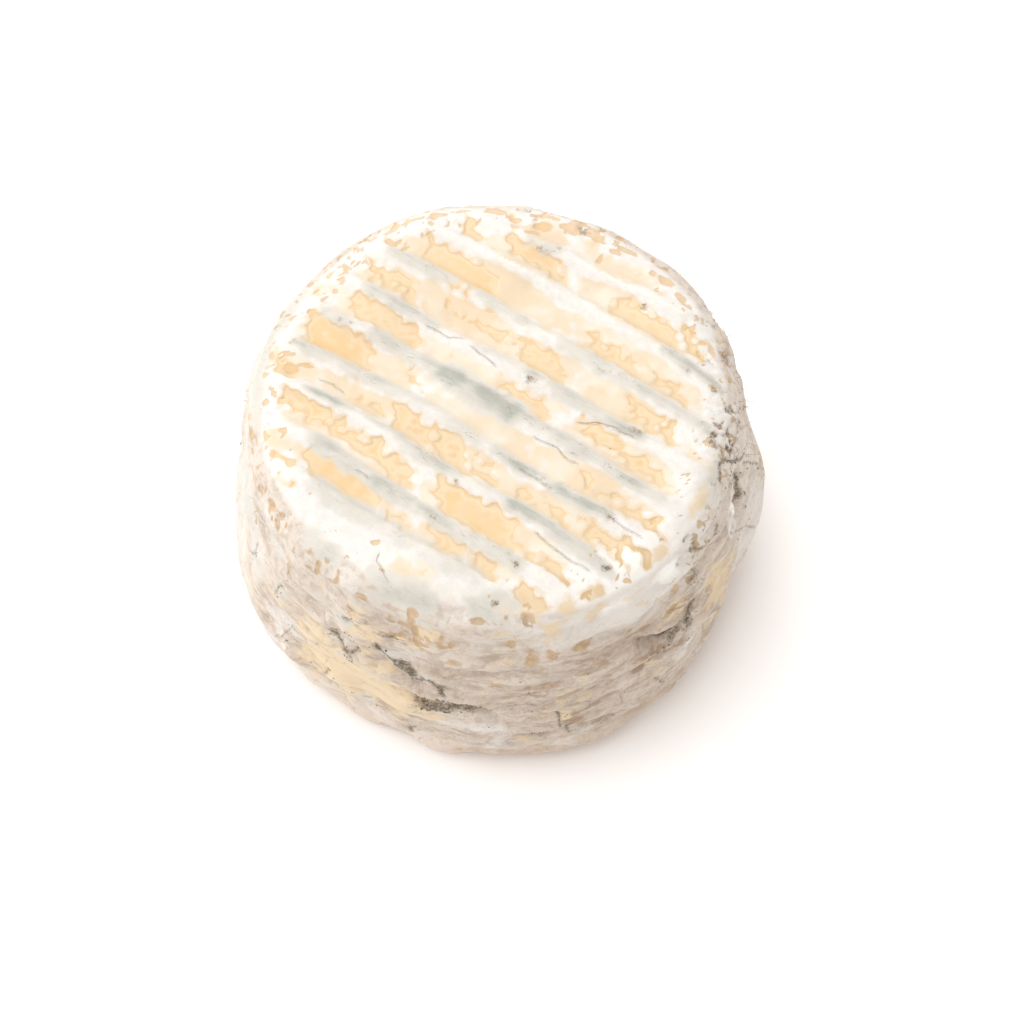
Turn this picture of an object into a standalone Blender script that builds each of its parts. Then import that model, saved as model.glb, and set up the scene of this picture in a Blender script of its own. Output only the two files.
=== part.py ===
"""A small soft-ripened cheese wheel, modelled as the one solid that it is.

The wheel is a turned drum with a swollen side, a rounded shoulder and a rounded foot. Its top carries
the slanting ridges that a draining rack leaves, with shallow windows of bare paste between them. The
side is wrinkled, folded and out of round. The underside is flat, with the rack's grooves pressed in.

Everything is in metres, +Z up. The origin is the centre of the underside.
"""

import math

import bpy
import numpy as np

MM = 0.001

# Driving dimensions of the drum.
WIDEST_RADIUS = 45.7 * MM
HEIGHT = 50.0 * MM
SHOULDER_RADIUS = 42.3 * MM
FOOT_RADIUS = 44.8 * MM
WIDEST_HEIGHT = 21.0 * MM
SHOULDER_ROUNDING = 6.6 * MM
FOOT_ROUNDING = 6.0 * MM

# How finely the drum is turned before it is thinned to the number of triangles it keeps.
TURN_STEPS = 264
FLAT_SPACING = 0.9 * MM
SIDE_POINTS = 44
ARC_POINTS = 9
KEPT_TRIANGLES = 10400

# The ridges of the top: the way they run, their size, and each crest's distance from the centre line, in
# millimetres, at five stations along it from one side of the wheel to the other.
RIDGE_ANGLE = math.radians(-34.0)
STATION_SPACING = 16.0 * MM
RIDGE_HEIGHT = 1.15 * MM
RIDGE_HALF_WIDTH = 1.5 * MM
RIDGE_FADE = (34.0 * MM, 40.5 * MM)
RIDGE_COURSES = (
    (28.6, 29.2, 30.6, 31.0, 31.5),
    (21.3, 23.0, 23.5, 23.1, 22.0),
    (13.6, 15.0, 14.6, 14.6, 13.9),
    (5.3, 5.4, 6.3, 6.5, 6.3),
    (-2.3, -1.2, -1.7, -1.0, -1.5),
    (-10.4, -9.0, -8.8, -9.7, -9.0),
    (-18.1, -16.3, -17.0, -16.1, -17.2),
    (-24.4, -24.5, -25.2, -25.1, -24.0),
    (-31.5, -31.2, -31.2, -30.6, -29.8),
)

# The largest windows of bare paste, in millimetres: start and end along the ridges, low and high across.
WINDOW_DEPTH = 0.4 * MM
WINDOW_EDGE = 1.3 * MM
WINDOWS = (
    (-25.0, -11.0, 15.6, 19.4),
    (-33.5, -23.0, -9.0, -4.6),
    (-30.5, -16.0, -0.4, 3.4),
    (-19.0, -2.5, -29.8, -26.4),
    (3.0, 19.5, -23.4, -18.6),
    (-12.5, -5.0, -15.6, -11.0),
    (-6.0, 3.0, -15.4, -10.6),
    (0.5, 9.5, 7.6, 12.0),
    (8.0, 21.0, 24.6, 27.6),
    (6.5, 18.0, 16.2, 19.8),
)

# Swellings and flats of the wheel, which is out of round: azimuth and its reach in degrees, height and its
# reach in millimetres, and how far the surface stands out (or in, below zero) in millimetres. They start
# from nothing at the underside and are whole at a given height.
SWELLING_START = (0.0, 6.0 * MM)
SWELLINGS = (
    (-5.0, 11.0, 24.0, 9.0, 2.1),
    (-20.0, 12.0, 9.0, 13.0, -2.1),
    (-72.0, 20.0, 5.0, 12.0, 1.1),
    (-119.0, 16.0, 5.0, 14.0, -2.0),
    (-157.0, 14.0, 9.0, 14.0, 1.0),
    (-178.0, 20.0, 31.0, 13.0, -1.5),
    (144.0, 15.0, 44.0, 13.0, -1.2),
    (57.0, 9.0, 47.0, 9.0, -0.7),
    (38.0, 12.0, 44.0, 12.0, 0.5),
    (19.0, 8.0, 44.0, 9.0, 0.8),
    (80.0, 22.0, 14.0, 14.0, 0.9),
    (112.0, 16.0, 24.0, 13.0, -0.9),
)

# Folds in the rind of the side: azimuth in degrees and height in millimetres of both ends, then depth and
# half width in millimetres.
FOLDS = (
    ((-19.0, 44.0), (-27.0, 33.0), 2.4, 1.3),
    ((-58.0, 31.5), (-40.0, 25.5), 1.6, 1.3),
    ((-128.0, 35.0), (-103.0, 27.5), 1.4, 1.3),
    ((-110.0, 25.0), (-87.0, 21.5), 1.5, 1.2),
    ((-150.0, 16.0), (-112.0, 9.0), 1.1, 1.5),
    ((-86.0, 13.5), (-60.0, 11.0), 0.9, 1.3),
    ((-37.0, 17.0), (-8.0, 12.0), 1.1, 1.4),
    ((20.0, 31.0), (48.0, 24.0), 1.4, 1.3),
    ((62.0, 17.0), (98.0, 21.0), 1.1, 1.4),
    ((120.0, 34.0), (150.0, 27.0), 1.5, 1.3),
    ((168.0, 20.0), (196.0, 25.0), 1.2, 1.4),
)

# Wrinkles: long round the wheel and short up it. Dimples: about as long as they are wide.
WRINKLE_LENGTHS = (17.0 * MM, 4.6 * MM)
WRINKLE_HEIGHT = 0.26 * MM
DIMPLE_LENGTH = 12.0 * MM
DIMPLE_HEIGHT = 0.35 * MM
NOISE_WAVES = 28
NOISE_SEED = 17

# The rack's grooves in the underside.
GROOVE_PITCH = 7.8 * MM
GROOVE_HALF_WIDTH = 2.7 * MM
GROOVE_DEPTH = 0.8 * MM
GROOVE_FADE = (30.0 * MM, 38.0 * MM)
BASE_FLATNESS = 0.03 * MM

RIND_COLOUR = (0.86, 0.80, 0.72, 1.0)


def smooth_step(low, high, value):
    """0 below low, 1 above high, and an even S-shaped rise between them."""
    t = np.clip((value - low) / (high - low), 0.0, 1.0)
    return t * t * (3.0 - 2.0 * t)


def wave_noise(points, lengths, seed):
    """Smooth noise of about -1 to 1: sine waves in random directions, of near the given wavelengths."""
    draw = np.random.default_rng(seed)
    total = np.zeros(len(points))
    for _ in range(NOISE_WAVES):
        direction = draw.normal(size=3)
        direction /= np.linalg.norm(direction)
        stretch = draw.uniform(0.75, 1.5)
        phase = draw.uniform(0.0, 2.0 * math.pi)
        total += np.sin(2.0 * math.pi * stretch * (points / lengths) @ direction + phase)
    return total / math.sqrt(NOISE_WAVES)


def arc(centre_r, centre_z, radius, start, end):
    """Points of (distance from the axis, height) on an arc between two angles in degrees."""
    angles = np.radians(np.linspace(start, end, ARC_POINTS))
    return [(centre_r + radius * math.cos(a), centre_z + radius * math.sin(a)) for a in angles]


def side_radius(z):
    """The swollen side: a parabola through the foot, the widest height and the shoulder."""
    heights = (FOOT_ROUNDING, WIDEST_HEIGHT, HEIGHT - SHOULDER_ROUNDING)
    radii = (FOOT_RADIUS, WIDEST_RADIUS, SHOULDER_RADIUS)
    total = 0.0
    for i, (own_height, own_radius) in enumerate(zip(heights, radii)):
        share = 1.0
        for j, other_height in enumerate(heights):
            if j != i:
                share *= (z - other_height) / (own_height - other_height)
        total += own_radius * share
    return total


def drum_profile():
    """The half outline of the drum from the top's centre, over the side, to the underside's centre."""
    shoulder_start = SHOULDER_RADIUS - SHOULDER_ROUNDING
    foot_start = FOOT_RADIUS - FOOT_ROUNDING
    top = [(r, HEIGHT) for r in np.arange(0.0, shoulder_start - FLAT_SPACING / 2, FLAT_SPACING)]
    shoulder = arc(shoulder_start, HEIGHT - SHOULDER_ROUNDING, SHOULDER_ROUNDING, 90.0, 6.0)
    side_heights = np.linspace(HEIGHT - SHOULDER_ROUNDING, FOOT_ROUNDING, SIDE_POINTS)
    side = [(side_radius(z), z) for z in side_heights]
    foot = arc(foot_start, FOOT_ROUNDING, FOOT_ROUNDING, -8.0, -90.0)
    base = [(r, 0.0) for r in np.arange(0.0, foot_start - FLAT_SPACING / 2, FLAT_SPACING)]
    return top + shoulder + side + foot + base[::-1]


def turned_drum(collection):
    """The drum before any relief: the profile turned round +Z by a Screw modifier, as a plain mesh."""
    profile = bpy.data.meshes.new("drum_profile")
    points = [(r, 0.0, z) for r, z in drum_profile()]
    profile.from_pydata(points, [(i, i + 1) for i in range(len(points) - 1)], [])
    lathe = bpy.data.objects.new("drum_lathe", profile)
    collection.objects.link(lathe)
    screw = lathe.modifiers.new("turn", "SCREW")
    screw.axis = "Z"
    screw.steps = TURN_STEPS
    screw.render_steps = TURN_STEPS
    screw.use_merge_vertices = True
    screw.merge_threshold = 0.00001
    return evaluated_mesh(lathe)


def evaluated_mesh(maker):
    """The mesh that an object's modifiers give. The object that made it is removed."""
    graph = bpy.context.evaluated_depsgraph_get()
    mesh = bpy.data.meshes.new_from_object(maker.evaluated_get(graph))
    own = maker.data
    bpy.data.objects.remove(maker)
    bpy.data.meshes.remove(own)
    return mesh


def vertex_array(mesh, attribute):
    """One three-number attribute of every vertex, as an array."""
    values = np.empty(len(mesh.vertices) * 3)
    mesh.vertices.foreach_get(attribute, values)
    return values.reshape(-1, 3)


def course(along, stations):
    """A crest's distance across the wheel at each place along it: a smooth curve through its stations."""
    values = np.array(stations) * MM
    position = np.clip(along / STATION_SPACING + 2.0, 0.0, 3.999)
    index = position.astype(int)
    t = position - index
    slopes = np.gradient(values)
    start, end = values[index], values[index + 1]
    rise = t * t * (3.0 - 2.0 * t)
    bend = t * (1.0 - t) ** 2 * slopes[index] - t * t * (1.0 - t) * slopes[index + 1]
    return start + (end - start) * rise + bend


def ridge_relief(along, across):
    """Height of the ridges: a round-topped bell across each crest."""
    height = np.zeros(len(along))
    for stations in RIDGE_COURSES:
        offset = (across - course(along, stations)) / RIDGE_HALF_WIDTH
        height = np.maximum(height, np.exp(-np.abs(offset) ** 2.4))
    return RIDGE_HEIGHT * height


def window_relief(along, across):
    """Depth of the windows of bare paste: shallow flat-bottomed hollows with soft edges."""
    depth = np.zeros(len(along))
    for start, end, low, high in WINDOWS:
        inside = np.minimum(
            np.minimum(along - start * MM, end * MM - along),
            np.minimum(across - low * MM, high * MM - across),
        )
        depth = np.maximum(depth, smooth_step(-WINDOW_EDGE / 2, WINDOW_EDGE, inside))
    return -WINDOW_DEPTH * depth


def top_relief(points):
    """Relief of the top: ridges, windows and a slow waviness, all fading out at the rim."""
    x, y = points[:, 0], points[:, 1]
    along = x * math.cos(RIDGE_ANGLE) + y * math.sin(RIDGE_ANGLE)
    across = -x * math.sin(RIDGE_ANGLE) + y * math.cos(RIDGE_ANGLE)
    inside_rim = 1.0 - smooth_step(*RIDGE_FADE, np.hypot(x, y))
    waves = DIMPLE_HEIGHT * wave_noise(points, 2.0 * DIMPLE_LENGTH, NOISE_SEED)
    return inside_rim * (ridge_relief(along, across) + window_relief(along, across)) + waves


def angle_between(first, second):
    """The signed turn in degrees from one azimuth to another, from -180 to 180."""
    return (second - first + 180.0) % 360.0 - 180.0


def swelling_relief(azimuth, height):
    """The large departures from round: a bell over azimuth and height for each."""
    total = np.zeros(len(azimuth))
    for centre, turn, level, reach, amount in SWELLINGS:
        sideways = angle_between(centre, azimuth) / turn
        upright = (height - level * MM) / (reach * MM)
        total += amount * MM * np.exp(-(sideways**2) - upright**2)
    return total


def fold_relief(azimuth, height):
    """Each fold is a groove between two points of the side, with a low lip above it."""
    total = np.zeros(len(azimuth))
    for (start_turn, start_level), (end_turn, end_level), depth, half_width in FOLDS:
        run = np.array((math.radians(end_turn - start_turn) * WIDEST_RADIUS, (end_level - start_level) * MM))
        length = np.linalg.norm(run)
        from_start = np.stack(
            (np.radians(angle_between(start_turn, azimuth)) * WIDEST_RADIUS, height - start_level * MM), 1
        )
        along = from_start @ run / length
        across = (from_start[:, 1] * run[0] - from_start[:, 0] * run[1]) / length
        across += 0.8 * MM * np.sin(along / (2.3 * MM))
        ends = smooth_step(-0.5 * MM, 3.0 * MM, along) * smooth_step(-0.5 * MM, 3.0 * MM, length - along)
        width = half_width * MM
        groove = -depth * np.exp(-((across / width) ** 2))
        lip = 0.45 * depth * np.exp(-(((across - 2.0 * width) / width) ** 2))
        total += ends * (groove + lip) * MM
    return total


def side_relief(points):
    """Relief of the side: folds, then wrinkles that run round the wheel, then dimples."""
    azimuth = np.degrees(np.arctan2(points[:, 1], points[:, 0]))
    round_length, up_length = WRINKLE_LENGTHS
    lengths = np.array((round_length, round_length, up_length))
    wrinkles = WRINKLE_HEIGHT * wave_noise(points, lengths, NOISE_SEED + 1)
    dimples = DIMPLE_HEIGHT * wave_noise(points, DIMPLE_LENGTH, NOISE_SEED + 2)
    return fold_relief(azimuth, points[:, 2]) + wrinkles + dimples


def base_relief(points):
    """The rack's straight grooves, pressed up into the flat underside and fading before the foot."""
    across = -points[:, 0] * math.sin(RIDGE_ANGLE) + points[:, 1] * math.cos(RIDGE_ANGLE)
    from_groove = np.abs(across % GROOVE_PITCH - GROOVE_PITCH / 2)
    hollow = 0.5 + 0.5 * np.cos(math.pi * np.clip(from_groove / GROOVE_HALF_WIDTH, 0.0, 1.0))
    return -GROOVE_DEPTH * hollow * (1.0 - smooth_step(*GROOVE_FADE, np.hypot(points[:, 0], points[:, 1])))


def relieved(points, normals):
    """The drum's points moved along its normals by the relief of the top, the side and the underside."""
    azimuth = np.degrees(np.arctan2(points[:, 1], points[:, 0]))
    radius = np.hypot(points[:, 0], points[:, 1])
    up = normals[:, 2]
    on_top = smooth_step(0.45, 0.95, up)
    on_base = smooth_step(0.90, 0.999, -up)
    on_side = (1.0 - on_top) * smooth_step(0.15 * MM, 3.0 * MM, points[:, 2])
    outward = smooth_step(0.4, 1.0, radius / WIDEST_RADIUS) * smooth_step(*SWELLING_START, points[:, 2])
    swelling = outward * swelling_relief(azimuth, points[:, 2])
    amount = on_top * top_relief(points) + on_side * side_relief(points) + on_base * base_relief(points)
    moved = points + normals * amount[:, None]
    moved[:, 0] += np.cos(np.radians(azimuth)) * swelling
    moved[:, 1] += np.sin(np.radians(azimuth)) * swelling
    return moved


def settle(mesh):
    """Stands the wheel on z = 0 with a truly flat underside, over the middle of its own outline."""
    points = vertex_array(mesh, "co")
    points[np.abs(points[:, 2]) < BASE_FLATNESS, 2] = 0.0
    middle = (points.min(axis=0) + points.max(axis=0)) / 2.0
    points[:, :2] -= middle[:2]
    mesh.vertices.foreach_set("co", points.ravel())
    mesh.update()


def rind_material():
    """The pale, dry bloom of the rind."""
    material = bpy.data.materials.new("rind")
    material.use_nodes = True
    shader = material.node_tree.nodes["Principled BSDF"]
    shader.inputs["Base Color"].default_value = RIND_COLOUR
    shader.inputs["Roughness"].default_value = 0.75
    shader.inputs["Metallic"].default_value = 0.0
    return material


def cheese_wheel(collection):
    """The whole wheel: turned, given its relief, thinned where it is flat, and set down."""
    mesh = turned_drum(collection)
    moved = relieved(vertex_array(mesh, "co"), vertex_array(mesh, "normal"))
    mesh.vertices.foreach_set("co", moved.ravel())
    full = bpy.data.objects.new("wheel_in_full", mesh)
    collection.objects.link(full)
    mesh.calc_loop_triangles()
    thin = full.modifiers.new("thin", "DECIMATE")
    thin.ratio = KEPT_TRIANGLES / len(mesh.loop_triangles)
    thin.use_collapse_triangulate = True
    kept = evaluated_mesh(full)
    kept.name = "cheese_wheel"
    settle(kept)
    kept.shade_smooth()
    kept.materials.append(rind_material())
    wheel = bpy.data.objects.new("cheese_wheel", kept)
    collection.objects.link(wheel)
    return wheel


def main():
    """Clears the scene and builds the wheel in a collection of its own."""
    for thing in list(bpy.data.objects):
        bpy.data.objects.remove(thing)
    collection = bpy.data.collections.new("cheese_wheel")
    bpy.context.scene.collection.children.link(collection)
    cheese_wheel(collection)


main()
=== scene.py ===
"""A small soft-ripened cheese wheel: the fine surface, the finish and the stage.

The wheel has the same form as its solid: a turned drum with rack ridges on top, folds and swellings on
the side, and rack grooves below. To that it adds the rind: white bloom with lobed edges, a cream film,
windows of bare paste, grey-blue mould along the ridges, cracks, stains, and a velvety wrinkled side.

Lengths inside the functions are in millimetres. Meshes are in metres.
"""

import math

import bpy
import numpy as np
from bpy.props import FloatProperty, FloatVectorProperty, IntProperty, PointerProperty
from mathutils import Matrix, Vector
from mathutils.bvhtree import BVHTree


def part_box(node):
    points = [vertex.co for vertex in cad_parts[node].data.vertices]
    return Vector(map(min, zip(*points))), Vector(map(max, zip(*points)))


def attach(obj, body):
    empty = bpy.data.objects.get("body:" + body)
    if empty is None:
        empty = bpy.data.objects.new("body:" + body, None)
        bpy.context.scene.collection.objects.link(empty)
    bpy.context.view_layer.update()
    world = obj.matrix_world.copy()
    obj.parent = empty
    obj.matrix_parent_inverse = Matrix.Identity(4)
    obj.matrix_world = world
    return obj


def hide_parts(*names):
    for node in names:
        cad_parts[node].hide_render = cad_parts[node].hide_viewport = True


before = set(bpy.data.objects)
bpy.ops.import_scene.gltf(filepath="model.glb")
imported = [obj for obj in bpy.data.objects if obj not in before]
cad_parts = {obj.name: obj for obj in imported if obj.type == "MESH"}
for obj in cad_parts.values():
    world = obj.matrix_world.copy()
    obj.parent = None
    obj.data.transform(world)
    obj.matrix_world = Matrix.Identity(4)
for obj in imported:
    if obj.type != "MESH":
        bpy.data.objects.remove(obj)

bl_info = {
    "name": "Cheese Wheel",
    "version": (1, 0, 0),
    "blender": (4, 5, 0),
    "location": "View3D > Sidebar > Cheese",
    "description": "A soft-ripened cheese wheel with a mould rind, and its studio stage",
    "category": "Add Mesh",
}

MM = 0.001
CAD_LOW, CAD_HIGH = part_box("cheese_wheel")
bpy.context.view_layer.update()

# The drum's profile, as its solid has it.
WIDEST_RADIUS = 45.7
HEIGHT = 50.0
SHOULDER_RADIUS = 42.3
FOOT_RADIUS = 44.8
WIDEST_HEIGHT = 21.0
SHOULDER_ROUNDING = 6.6
FOOT_ROUNDING = 6.0

# How finely the surface is sampled: the square grids bent to the top's and the underside's discs, and the
# rings of the side between them. The top's grid runs over the edge, half way down the shoulder.
TOP_GRID = 185
BASE_GRID = 61
SIDE_RINGS = 100
SIDE_STEPS = 600
TOP_REACH = 41.0
BASE_REACH = 40.0

# The ridges of the top: each crest's distance from the centre line at five stations along it.
RIDGE_ANGLE = math.radians(-34.0)
STATION_SPACING = 16.0
RIDGE_HEIGHT = 1.15
RIDGE_HALF_WIDTH = 1.5
RIDGE_FADE = (34.0, 40.5)
RIDGE_COURSES = (
    (28.6, 29.2, 30.6, 31, 31.5), (21.3, 23, 23.5, 23.1, 22), (13.6, 15, 14.6, 14.6, 13.9),
    (5.3, 5.4, 6.3, 6.5, 6.3), (-2.3, -1.2, -1.7, -1, -1.5), (-10.4, -9, -8.8, -9.7, -9),
    (-18.1, -16.3, -17, -16.1, -17.2), (-24.4, -24.5, -25.2, -25.1, -24),
    (-31.5, -31.2, -31.2, -30.6, -29.8),
)

# Windows of bare paste: start and end across the picture, low and high across the ridges, how bare.
WINDOWS = (
    (-10.9, 0.8, 14, 20.4, 1), (-8.6, 4.6, 9.8, 11.9, 0.45), (-24.7, -12.5, -0.3, 4.2, 0.75),
    (-32, -20.6, -9.9, -2.9, 1), (-21.6, -12.8, 7.2, 11.4, 0.55), (-36, -30.5, -21.5, -17.6, 0.7),
    (-31, -17.9, -21.6, -17.9, 0.5), (-30.4, -18.6, -30.2, -25.2, 1), (-8.8, 3.8, -23.8, -18, 1),
    (-16.6, -11, -15.8, -10.2, 0.7), (-9.6, -3.9, -15.6, -9.6, 0.7), (4.6, 12, 7.8, 12.6, 0.75),
    (2, 9.4, -0.6, 3.6, 0.8), (16.2, 25, 15.8, 19.8, 0.6), (20.6, 31, 24.4, 28.4, 0.8),
    (26.6, 32.4, 15.6, 19.2, 0.45), (15, 22.4, 1.8, 5.2, 0.7), (21.4, 28.4, 0.6, 3.6, 0.6),
    (22.4, 30.6, 8.4, 12.4, 0.55), (15, 19.4, -7.4, -4, 0.35), (19.4, 28.4, -7, -4, 0.35),
    (14.8, 21.8, -14.6, -11.4, 0.5), (3.6, 12.6, -15, -12, 0.45), (-3.6, 0.6, -14.6, -11.6, 0.55),
    (-17.6, -12.8, -23, -18.6, 0.65), (-17.6, -12.8, -30.6, -27.6, 0.45), (-10, -3.9, -30.2, -26.4, 0.6),
    (-4, 1.4, -30, -26, 0.5), (4.8, 12.6, -23.6, -21.2, 0.55), (21.4, 29.4, -12.2, -9.8, 0.45),
    (2.8, 11.8, 25.4, 29.4, 0.8), (-5, -1.8, 24.4, 28, 0.55), (2.6, 4.8, 29, 33.6, 0.5),
    (-14.6, -12.2, -5.8, -2.6, 0.55), (-23.6, -17.8, -14, -12.2, 0.45), (-36.2, -33.4, -17.4, -13.8, 0.45),
    (15.8, 23.8, -21.4, -19.4, 0.45), (31.6, 36.4, 25.4, 29.4, 0.55), (-37.6, -32.2, -34, -29.2, 0.45),
    (4.4, 12.6, -30, -26.8, 0.75), (13.6, 19.4, -27.6, -26, 0.5), (20.6, 26, -27, -25.4, 0.6),
    (27.6, 31, -22, -18.6, 0.5), (26.4, 31.6, -16.6, -14, 0.6),
)

# Grey-blue mould on the ridges: which ridge, start and end along it, strength, half width.
MOULD_STREAKS = (
    (0, -14, -5, 0.5, 1.8), (1, 8, 20, 0.35, 1.8), (1, 18, 32, 0.85, 1.1), (2, -32, -16, 0.5, 1.8),
    (2, -18, 0, 0.45, 1.4), (2, -7, -1, 0.6, 1.2), (2, 3, 20, 0.45, 2), (2, 18, 36, 0.8, 1.3),
    (3, -31, -14, 0.62, 1.5), (3, -9, 4, 0.55, 1.3), (3, 1, 6, 0.85, 1), (3, 6, 20, 0.55, 1.8),
    (3, 17, 27, 0.85, 1.2), (4, -35, -24, 0.45, 1.2), (4, -25, -8, 0.65, 1.7), (4, -11, 7, 0.95, 2.9),
    (4, 4, 15, 0.55, 1.5), (4, 12, 36, 0.8, 1.6), (5, -35, -29, 0.6, 1), (5, -33, -12, 0.55, 1.7),
    (5, -14, 8, 0.4, 1.7), (5, 5, 30, 0.85, 1.3), (6, -27, -8, 0.75, 0.8), (6, -11, 6, 0.6, 1.6),
    (6, 3, 15, 0.4, 1.7), (6, 13, 36, 0.8, 1.7), (7, -21, 3, 0.66, 2), (7, 1, 11, 0.85, 1.5),
    (7, 8, 24, 0.55, 1.7), (8, -16, 20, 0.42, 3),
)

# Single spots of dark mould on top: place in plan, half width, strength.
TOP_SPOTS = (
    (6.6, 2.3, 0.7, 0.9), (-34, 10, 0.8, 0.6), (-26, 14.6, 0.5, 0.6), (-24.1, 13.6, 0.4, 0.6),
    (8.5, 29, 1.3, 0.5), (11.5, 29.3, 0.5, 1), (24, -7.8, 1.1, 0.7), (19.3, -24.3, 0.8, 0.8),
    (-9.5, -24.6, 0.9, 0.5), (-5.8, -17.2, 0.5, 0.8), (4, -32.8, 0.6, 1), (18.8, -33, 0.7, 0.8),
    (23.6, -37.4, 0.6, 0.8), (25.8, 17.2, 0.5, 0.9), (37.6, -6, 0.5, 1.1), (36.4, -9.6, 0.7, 1),
    (39, -7.2, 0.5, 0.9), (37.4, 0.8, 0.8, 0.7), (34.2, -29.6, 0.8, 0.9), (31.2, -35, 0.5, 0.8),
    (0.4, -39.4, 0.4, 0.9), (20.2, -10.5, 0.25, 0.8), (32.6, 4.4, 0.9, 0.5),
)

# Brown stains near the rim: place in plan, half length round the rim, half width, strength.
RIM_STAINS = (
    (0.6, 38.5, 1.8, 0.7, 1), (-9.8, 36.4, 1.4, 0.6, 1), (-20.6, 32.8, 1.2, 0.4, 0.9),
    (-14.2, 35.4, 0.7, 0.4, 0.8), (13.6, 34.2, 1.7, 0.7, 1), (17.8, 32.6, 1.8, 0.5, 1),
    (21.4, 29.6, 1, 0.5, 0.9), (18.7, 27.8, 0.6, 0.9, 0.7), (27.4, 24.8, 0.8, 0.5, 0.8),
    (29.6, 22.8, 1.4, 0.5, 0.9), (32.2, 19.2, 1, 0.6, 0.9), (33, 17.4, 0.9, 0.5, 0.8),
    (-31, 21.8, 0.8, 0.4, 0.8), (-27.6, 25.2, 0.7, 0.4, 0.7), (-38.4, -1.2, 0.7, 0.5, 0.9),
    (-38, -7.6, 1.3, 0.4, 0.9), (-36.6, -11.4, 0.9, 0.5, 0.7), (-36.8, -21.4, 1.4, 0.4, 0.9),
    (8.6, 34.6, 1.4, 0.7, 0.9), (7, 32.8, 1.5, 0.6, 0.7), (4, 36, 1, 0.5, 0.9), (-17.8, 31, 0.5, 0.8, 0.9),
    (-15.2, 29.6, 1, 0.4, 0.7), (-24.2, 26.2, 0.6, 0.3, 0.6), (-27.4, 21.4, 0.5, 0.7, 0.8),
    (-29.2, 19.4, 0.9, 0.3, 0.8), (37, 9, 2, 0.6, 0.6), (-37.6, 8, 1, 0.5, 0.8), (-34.2, 5, 0.9, 1, 0.8),
    (-31.4, 5.4, 0.4, 1.4, 0.8), (-19, -28.4, 0.5, 0.4, 0.9),
)

# White patches of thick bloom on top: place in plan, reach, strength.
BLOOM_PATCHES = (
    (-4, 35, 4, 1), (-15, 33, 2.5, 0.7), (-23, 28.5, 3.5, 0.8), (-28.5, 19.5, 2.5, 0.8), (-38, 4, 2, 0.8),
    (-36.5, -2, 1.8, 0.8), (-12, 1, 1.6, 1), (11.6, -4.6, 1.6, 1), (-33, -14.6, 2.2, 0.8),
    (-26, -24, 4.5, 1.2), (-19.5, -27, 3, 1), (-17.4, -12.4, 1.3, 0.6), (-10.8, -16.4, 2, 0.8),
    (-5, -12, 1.4, 0.9), (35, -8, 3, 1), (31, -16, 2, 0.7), (26, -25, 2.4, 0.9), (17, -29.4, 2, 0.6),
    (12, -34, 3, 0.8), (17, -37.6, 2.4, 0.9), (6.4, -33.4, 2, 0.8), (28.6, 17.6, 3.6, 0.9),
    (33.4, 12, 2.6, 0.7), (21, 31, 2.4, 0.8), (14, 31, 2.4, 0.6), (5, 36, 2, 0.5), (-5.5, -6.6, 0.9, 0.8),
    (-17.4, -30.4, 2, 0.9), (2, -37, 3, 0.5),
)

# Where the paste shines warm through the film: place in plan, reach, strength.
WARM_PATCHES = (
    (-4, 17, 4.5, 1), (3, 20, 3.5, 0.7), (-10, 21, 3.5, 0.7), (17.9, -17, 4, 0.7), (35, 13.5, 3, 1),
    (-38, -14.6, 3, 1), (-14, 29, 4, 0.6), (8, 32, 5, 0.8), (-22, -4, 4, 0.5), (10, -21, 4, 0.5),
)

# Where the rack's cross bars stopped the bloom: distance across the picture, half width, strength.
CROSS_BARS = ((-12.4, 0.8, 0.5), (-1.4, 0.7, 0.35), (13.8, 0.8, 0.4), (31.0, 1.2, 0.5))

# Where the rind is torn into lumps with dark gaps: azimuth, height, reach in millimetres, strength.
TORN_RIND = (
    (-11, 48, 3.6, 1), (-16, 44.5, 3, 0.8), (-2, 47.5, 3, 0.8), (12, 47.5, 3.2, 0.6), (24, 49, 3.4, 0.5),
    (-27, 46, 3, 0.7), (-40, 45, 3.2, 0.8), (-148, 47, 4, 0.35), (-137, 45, 3, 0.35), (-126, 31, 3, 0.5),
    (-107, 31, 3.4, 0.6), (-97, 23, 3.4, 0.5), (-48, 28, 3, 0.6), (80, 48, 3.6, 0.5), (66, 49, 3, 0.5),
    (100, 44, 4, 0.5), (140, 36, 4, 0.5), (70, 30, 4, 0.5),
)

# Thin brown cracks of the top: places in plan along each.
CRACKS = (
    ((7.6, -8.6), (10.2, -10.2), (12, -11.8), (13.6, -13.4)),
    ((7.6, -27.2), (9.4, -29), (11.6, -30.4), (13.4, -32.2), (15.6, -33.6)),
    ((-10.4, 13.2), (-8.6, 12), (-7, 10.8), (-5.2, 10.7)), ((-3.2, 8.6), (-1.6, 7.2), (0.2, 5.6)),
    ((14.8, -5.2), (17.4, -5.4), (20.2, -6.8), (23, -8.8)), ((5.2, -15.4), (7.4, -17.2), (9.8, -18.8)),
    ((-18.4, -30.6), (-18.8, -32), (-17.6, -34.2), (-17, -35.2)), ((-22, -15.2), (-20, -16.6)),
    ((-28.4, 2.8), (-26.4, 2), (-25, 0.4)), ((21, -25.4), (22.6, -26.6), (24.6, -27.8)),
    ((37.2, 16.6), (38, 12.6), (38.6, 8.6)),
    ((36.8, -17.6), (36.6, -22), (36.8, -26), (35.4, -29.4)),
)

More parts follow.
